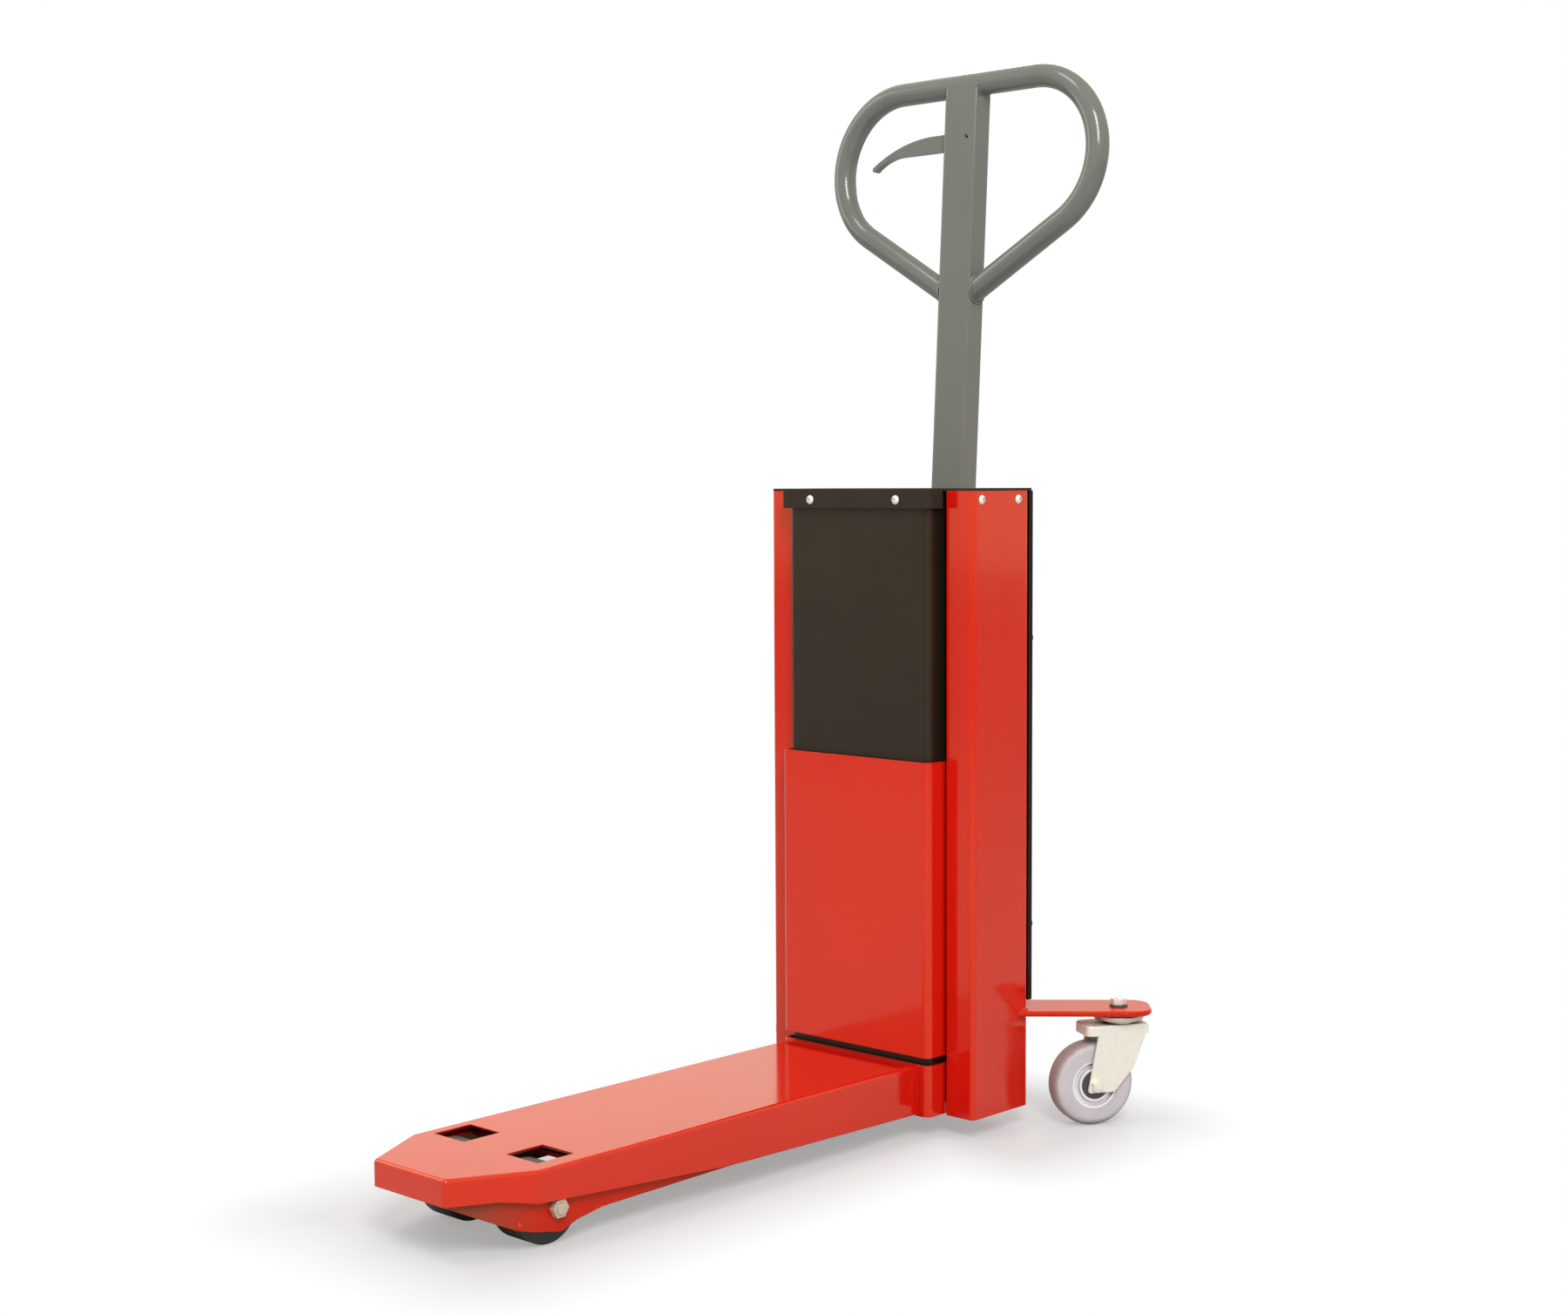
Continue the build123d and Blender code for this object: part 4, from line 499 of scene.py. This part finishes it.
def add_piece(name, mesh, body, slot):
    """A piece of the scene's own that rides on a body."""
    piece = bpy.data.objects.new(name, mesh)
    bpy.context.scene.collection.objects.link(piece)
    mesh.materials.append(SLOTS[slot])
    for face in mesh.polygons:
        face.use_smooth = True
    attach(piece, body)
    return piece


def ring(bm, centre, across, up, radius, sides):
    """A circle of points round a centre, in the plane of two directions."""
    angles = [2 * math.pi * k / sides for k in range(sides)]
    return [bm.verts.new(centre + radius * (math.cos(a) * across + math.sin(a) * up)) for a in angles]


def join_rings(bm, near, far):
    """Quads between two rings with the same number of points."""
    for k in range(len(near)):
        n = (k + 1) % len(near)
        bm.faces.new((near[k], near[n], far[n], far[k]))


def close_ends(bm, rings):
    """Closes both ends of a row of rings."""
    bm.faces.new(list(reversed(rings[0])))
    bm.faces.new(rings[-1])


def finished_mesh(name, bm):
    """The finished mesh, with its faces pointing outward."""
    bmesh.ops.recalc_face_normals(bm, faces=bm.faces)
    mesh = bpy.data.meshes.new(name)
    bm.to_mesh(mesh)
    bm.free()
    return mesh


def stepped(path, closed):
    """Points along a path, one bead step apart."""
    points = []
    for a, b in zip(path, path[1:] + path[:1] if closed else path[1:]):
        count = max(1, round((b - a).length / BEAD_STEP))
        points += [a.lerp(b, i / count) for i in range(count)]
    return points if closed else points + [path[-1]]


def weld(bm, path, radius, closed, seed):
    """A weld bead along a path: a string of overlapping ripples, drawn out thin at open ends."""
    points = stepped(path, closed)
    last = len(points) - 1
    rings = []
    for i, point in enumerate(points):
        before = points[i - 1] if i or closed else point
        after = points[(i + 1) % len(points)] if i < last or closed else point
        along = (after - before).normalized()
        side = along.orthogonal().normalized()
        run = i * BEAD_STEP
        ripple = (run / RIPPLE_PITCH + RIPPLE_JITTER * math.sin(run * JITTER_RATE + seed)) % 1.0
        swell = SWELL_LEAST + SWELL_RIPPLE * math.sqrt(1 - ripple)
        swell += SWELL_DRIFT * math.sin(run * DRIFT_RATE + 2 * seed)
        if not closed:
            swell *= min(1.0, END_SWELL + min(i, last - i) * BEAD_STEP / END_FADE)
        rings.append(ring(bm, point, side, along.cross(side), radius * swell, BEAD_SIDES))
    for near, far in zip(rings, rings[1:] + rings[:1] if closed else rings[1:]):
        shift = min(range(BEAD_SIDES), key=lambda k: (far[k].co - near[0].co).length)
        join_rings(bm, near, far[shift:] + far[:shift])
    if not closed:
        close_ends(bm, rings)


def bead_mesh(name, beads):
    """One mesh of several beads, each a path, a radius and whether it is closed."""
    bm = bmesh.new()
    for seed, (path, radius, closed) in enumerate(beads):
        weld(bm, path, radius, closed, seed)
    return finished_mesh(name, bm)


def loop_welds():
    """Beads where the handle's top bar and diagonals meet the tiller tube."""
    centre = Vector((LOOP_STRAIGHT / 2 - TUBE_SIDE, LOOP_HEIGHT - LOOP_CORNER - LOOP_FOOT))
    slope = math.atan2(centre.y, centre.x) - math.asin(LOOP_CORNER / centre.length)
    foot, top = LOOP_RADIUS + FOOT_OFF, LOOP_RADIUS + TOP_OFF
    beads = []
    for side in (-1, 1):
        x = side * (TUBE_SIDE + SIDE_OFF)
        seam = []
        for k in range(FOOT_POINTS):
            a = 2 * math.pi * k / FOOT_POINTS
            z = LOOP_FOOT + foot / math.cos(slope) * math.sin(a)
            seam.append(to_tiller((x, foot * math.cos(a), z)))
        beads.append((seam, FOOT_BEAD, True))
        beads.append((seam[HEAVY_STRETCH], HEAVY_BEAD, False))
        arc = []
        for k in range(TOP_STEPS + 1):
            a = math.pi * (1 + k / TOP_STEPS)
            arc.append(to_tiller((x, top * math.cos(a), LOOP_HEIGHT + top * math.sin(a))))
        beads.append((arc, TOP_BEAD, False))
    for face in (-1, 1):
        ends = [(x, face * LOOP_RADIUS, LOOP_HEIGHT) for x in (-FACE_BEAD_HALF, FACE_BEAD_HALF)]
        beads.append(([to_tiller(end) for end in ends], FACE_BEAD, False))
    add_piece("loop_welds", bead_mesh("loop_welds", beads), "tiller", "grey_paint")


def return_spring():
    """The pump's return spring, one unbroken wire built where the CAD spring was, which is hidden."""
    low, high = (Vector(corner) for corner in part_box("plunger_spring"))
    axis = (low + high) / 2
    start, end = low.y + SPRING_WIRE, high.y - SPRING_WIRE
    steps = TURN_STEPS * SPRING_TURNS
    rise = (end - start) / (2 * math.pi * SPRING_TURNS)
    bm = bmesh.new()
    rings = []
    for k in range(steps + 1):
        turn = 2 * math.pi * SPRING_TURNS * k / steps
        radial = Vector((math.cos(turn), 0, math.sin(turn)))
        heading = Vector((-SPRING_RADIUS * radial.z, rise, SPRING_RADIUS * radial.x)).normalized()
        middle = Vector((axis.x, start + rise * turn, axis.z)) + SPRING_RADIUS * radial
        rings.append(ring(bm, middle, radial, heading.cross(radial), SPRING_WIRE, WIRE_SIDES))
    for near, far in zip(rings, rings[1:]):
        join_rings(bm, near, far)
    close_ends(bm, rings)
    spring = add_piece("return_spring", finished_mesh("return_spring", bm), "chassis", "steel")
    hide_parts("plunger_spring")
    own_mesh(spring)


def arm_welds():
    """Beads that join the castor arms to the rear corners of the column, above and below."""
    low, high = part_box("column_frame")
    front, rear = low[1], high[1]
    bend = rear - COLUMN_BEND
    out = COLUMN_BEND + ARM_OFF
    beads = []
    for side in (-1, 1):
        for z in (ARM_TOP, ARM_BOTTOM):
            path = [Vector((side * (COLUMN_SIDE + ARM_OFF), front + ARM_SIDE_START + ARM_FRONT_GAP, z))]
            for k in range(CORNER_STEPS + 1):
                a = math.pi / 2 * k / CORNER_STEPS
                x = COLUMN_SIDE - COLUMN_BEND + out * math.cos(a)
                path.append(Vector((side * x, bend + out * math.sin(a), z)))
            path.append(Vector((side * (ARM_REAR_END + ARM_REAR_GAP), rear + ARM_OFF, z)))
            beads.append((path, ARM_BEAD, False))
    add_piece("arm_welds", bead_mesh("arm_welds", beads), "chassis", "red_paint")


def leg_rivets():
    """A low domed rivet head on each cheek of the roller leg, just ahead of the roller."""
    upward = Vector((0, 0, 1))
    bm = bmesh.new()
    for side in (-1, 1):
        mirrored = Vector((side, 1, 1))
        at, out = Vector(RIVET_AT) * mirrored, Vector(RIVET_FACING) * mirrored
        across = out.cross(upward)
        rings = []
        for row in range(RIVET_ROWS):
            lift = math.pi / 2 * row / RIVET_ROWS
            height = RIVET_HEIGHT * math.sin(lift) if row else -RIVET_SINK
            radius = RIVET_RADIUS * math.cos(lift)
            rings.append(ring(bm, at + height * out, across, upward, radius, RIVET_SIDES))
        for low, high in zip(rings, rings[1:]):
            join_rings(bm, low, high)
        close_ends(bm, rings)
    add_piece("leg_rivets", finished_mesh("leg_rivets", bm), "chassis", "red_paint")


def white_world():
    """White to the camera, a warm room in reflections and a dimmer fill on everything else."""
    world = bpy.data.worlds.new("studio")
    bpy.context.scene.world = world
    world.use_nodes = True
    tree = world.node_tree
    tree.nodes.clear()
    out = tree.nodes.new("ShaderNodeOutputWorld")
    rays = tree.nodes.new("ShaderNodeLightPath")

    def surround(tone, strength=1.0):
        node = tree.nodes.new("ShaderNodeBackground")
        node.inputs["Color"].default_value = (*tone, 1.0)
        node.inputs["Strength"].default_value = strength
        return node.outputs[0]

    light = surround(FILL_TONE, FILL_STRENGTH)
    for ray, tone in (("Is Glossy Ray", MIRRORED_TONE), ("Is Camera Ray", WHITE)):
        blend = tree.nodes.new("ShaderNodeMixShader")
        tree.links.new(rays.outputs[ray], blend.inputs[0])
        tree.links.new(light, blend.inputs[1])
        tree.links.new(surround(tone), blend.inputs[2])
        light = blend.outputs[0]
    tree.links.new(light, out.inputs["Surface"])


def lamp(name, at, to, wide, high, power):
    """A soft rectangular lamp aimed at a point."""
    data = bpy.data.lights.new(name, "AREA")
    data.shape = "RECTANGLE"
    data.size, data.size_y, data.energy = wide, high, power
    stand = bpy.data.objects.new(name, data)
    stand.location = at
    stand.rotation_euler = (Vector(to) - Vector(at)).to_track_quat("-Z", "Y").to_euler()
    bpy.context.scene.collection.objects.link(stand)


def pale_floor():
    """A matt floor that takes the truck's shadow and turns white to the camera further out."""
    h = FLOOR_HALF
    mesh = bpy.data.meshes.new("floor")
    mesh.from_pydata([(-h, -h, 0), (h, -h, 0), (h, h, 0), (-h, h, 0)], [], [(0, 1, 2, 3)])
    floor = bpy.data.objects.new("floor", mesh)
    bpy.context.scene.collection.objects.link(floor)
    g = Graph("pale_floor")
    tint = g.mix(g.spread(g.noise(scale=2.0, detail=4.0)), FLOOR_TONE, FLOOR_SHADE)
    g.finish(Base_Color=tint, Roughness=0.8, Specular_IOR_Level=0.2)
    matt = g.output.inputs["Surface"].links[0].from_socket
    white = g.add("ShaderNodeEmission")
    outside = []
    for centre, half in FOOTPRINT:
        apart = g.vector("ABSOLUTE", g.vector("SUBTRACT", g.place, centre))
        beyond = g.vector("MAXIMUM", g.vector("SUBTRACT", apart, half))
        outside.append(g.vector("LENGTH", beyond))
    away = g.ramp(g.math("MINIMUM", *outside), 0.0, SHADOW_REACH, start=SHADOW_WHITE, end=1.0)
    rays = g.add("ShaderNodeLightPath")
    blend = g.add("ShaderNodeMixShader")
    g.feed(blend.inputs[0], g.times(away, rays.outputs["Is Camera Ray"]))
    g.feed(blend.inputs[1], matt)
    g.feed(blend.inputs[2], white.outputs[0])
    g.feed(g.output.inputs["Surface"], blend.outputs[0])
    mesh.materials.append(g.material)


def camera():
    """The photograph's point of view."""
    yaw, pitch, roll = (math.radians(v) for v in (CAMERA_YAW, CAMERA_PITCH, CAMERA_ROLL))
    level = Vector((math.cos(yaw), math.sin(yaw), 0))
    ahead = Vector((-math.sin(yaw) * math.cos(pitch), math.cos(yaw) * math.cos(pitch), -math.sin(pitch)))
    up = level.cross(ahead)
    right = math.cos(roll) * level + math.sin(roll) * up
    above = -math.sin(roll) * level + math.cos(roll) * up
    data = bpy.data.cameras.new("camera")
    data.sensor_fit, data.sensor_width, data.lens = "HORIZONTAL", CAMERA_SENSOR, CAMERA_LENS
    data.clip_end = CAMERA_REACH
    cam = bpy.data.objects.new("camera", data)
    bpy.context.scene.collection.objects.link(cam)
    turn = Matrix((right, above, -ahead)).transposed().to_4x4()
    cam.matrix_world = Matrix.Translation(CAMERA_AT) @ turn
    bpy.context.scene.camera = cam


dress_nodes()
loop_welds()
return_spring()
arm_welds()
leg_rivets()
white_world()
for lamp_name, setting in LAMPS.items():
    lamp(lamp_name, **setting)
pale_floor()
camera()
bpy.context.scene.view_settings.view_transform = "Standard"
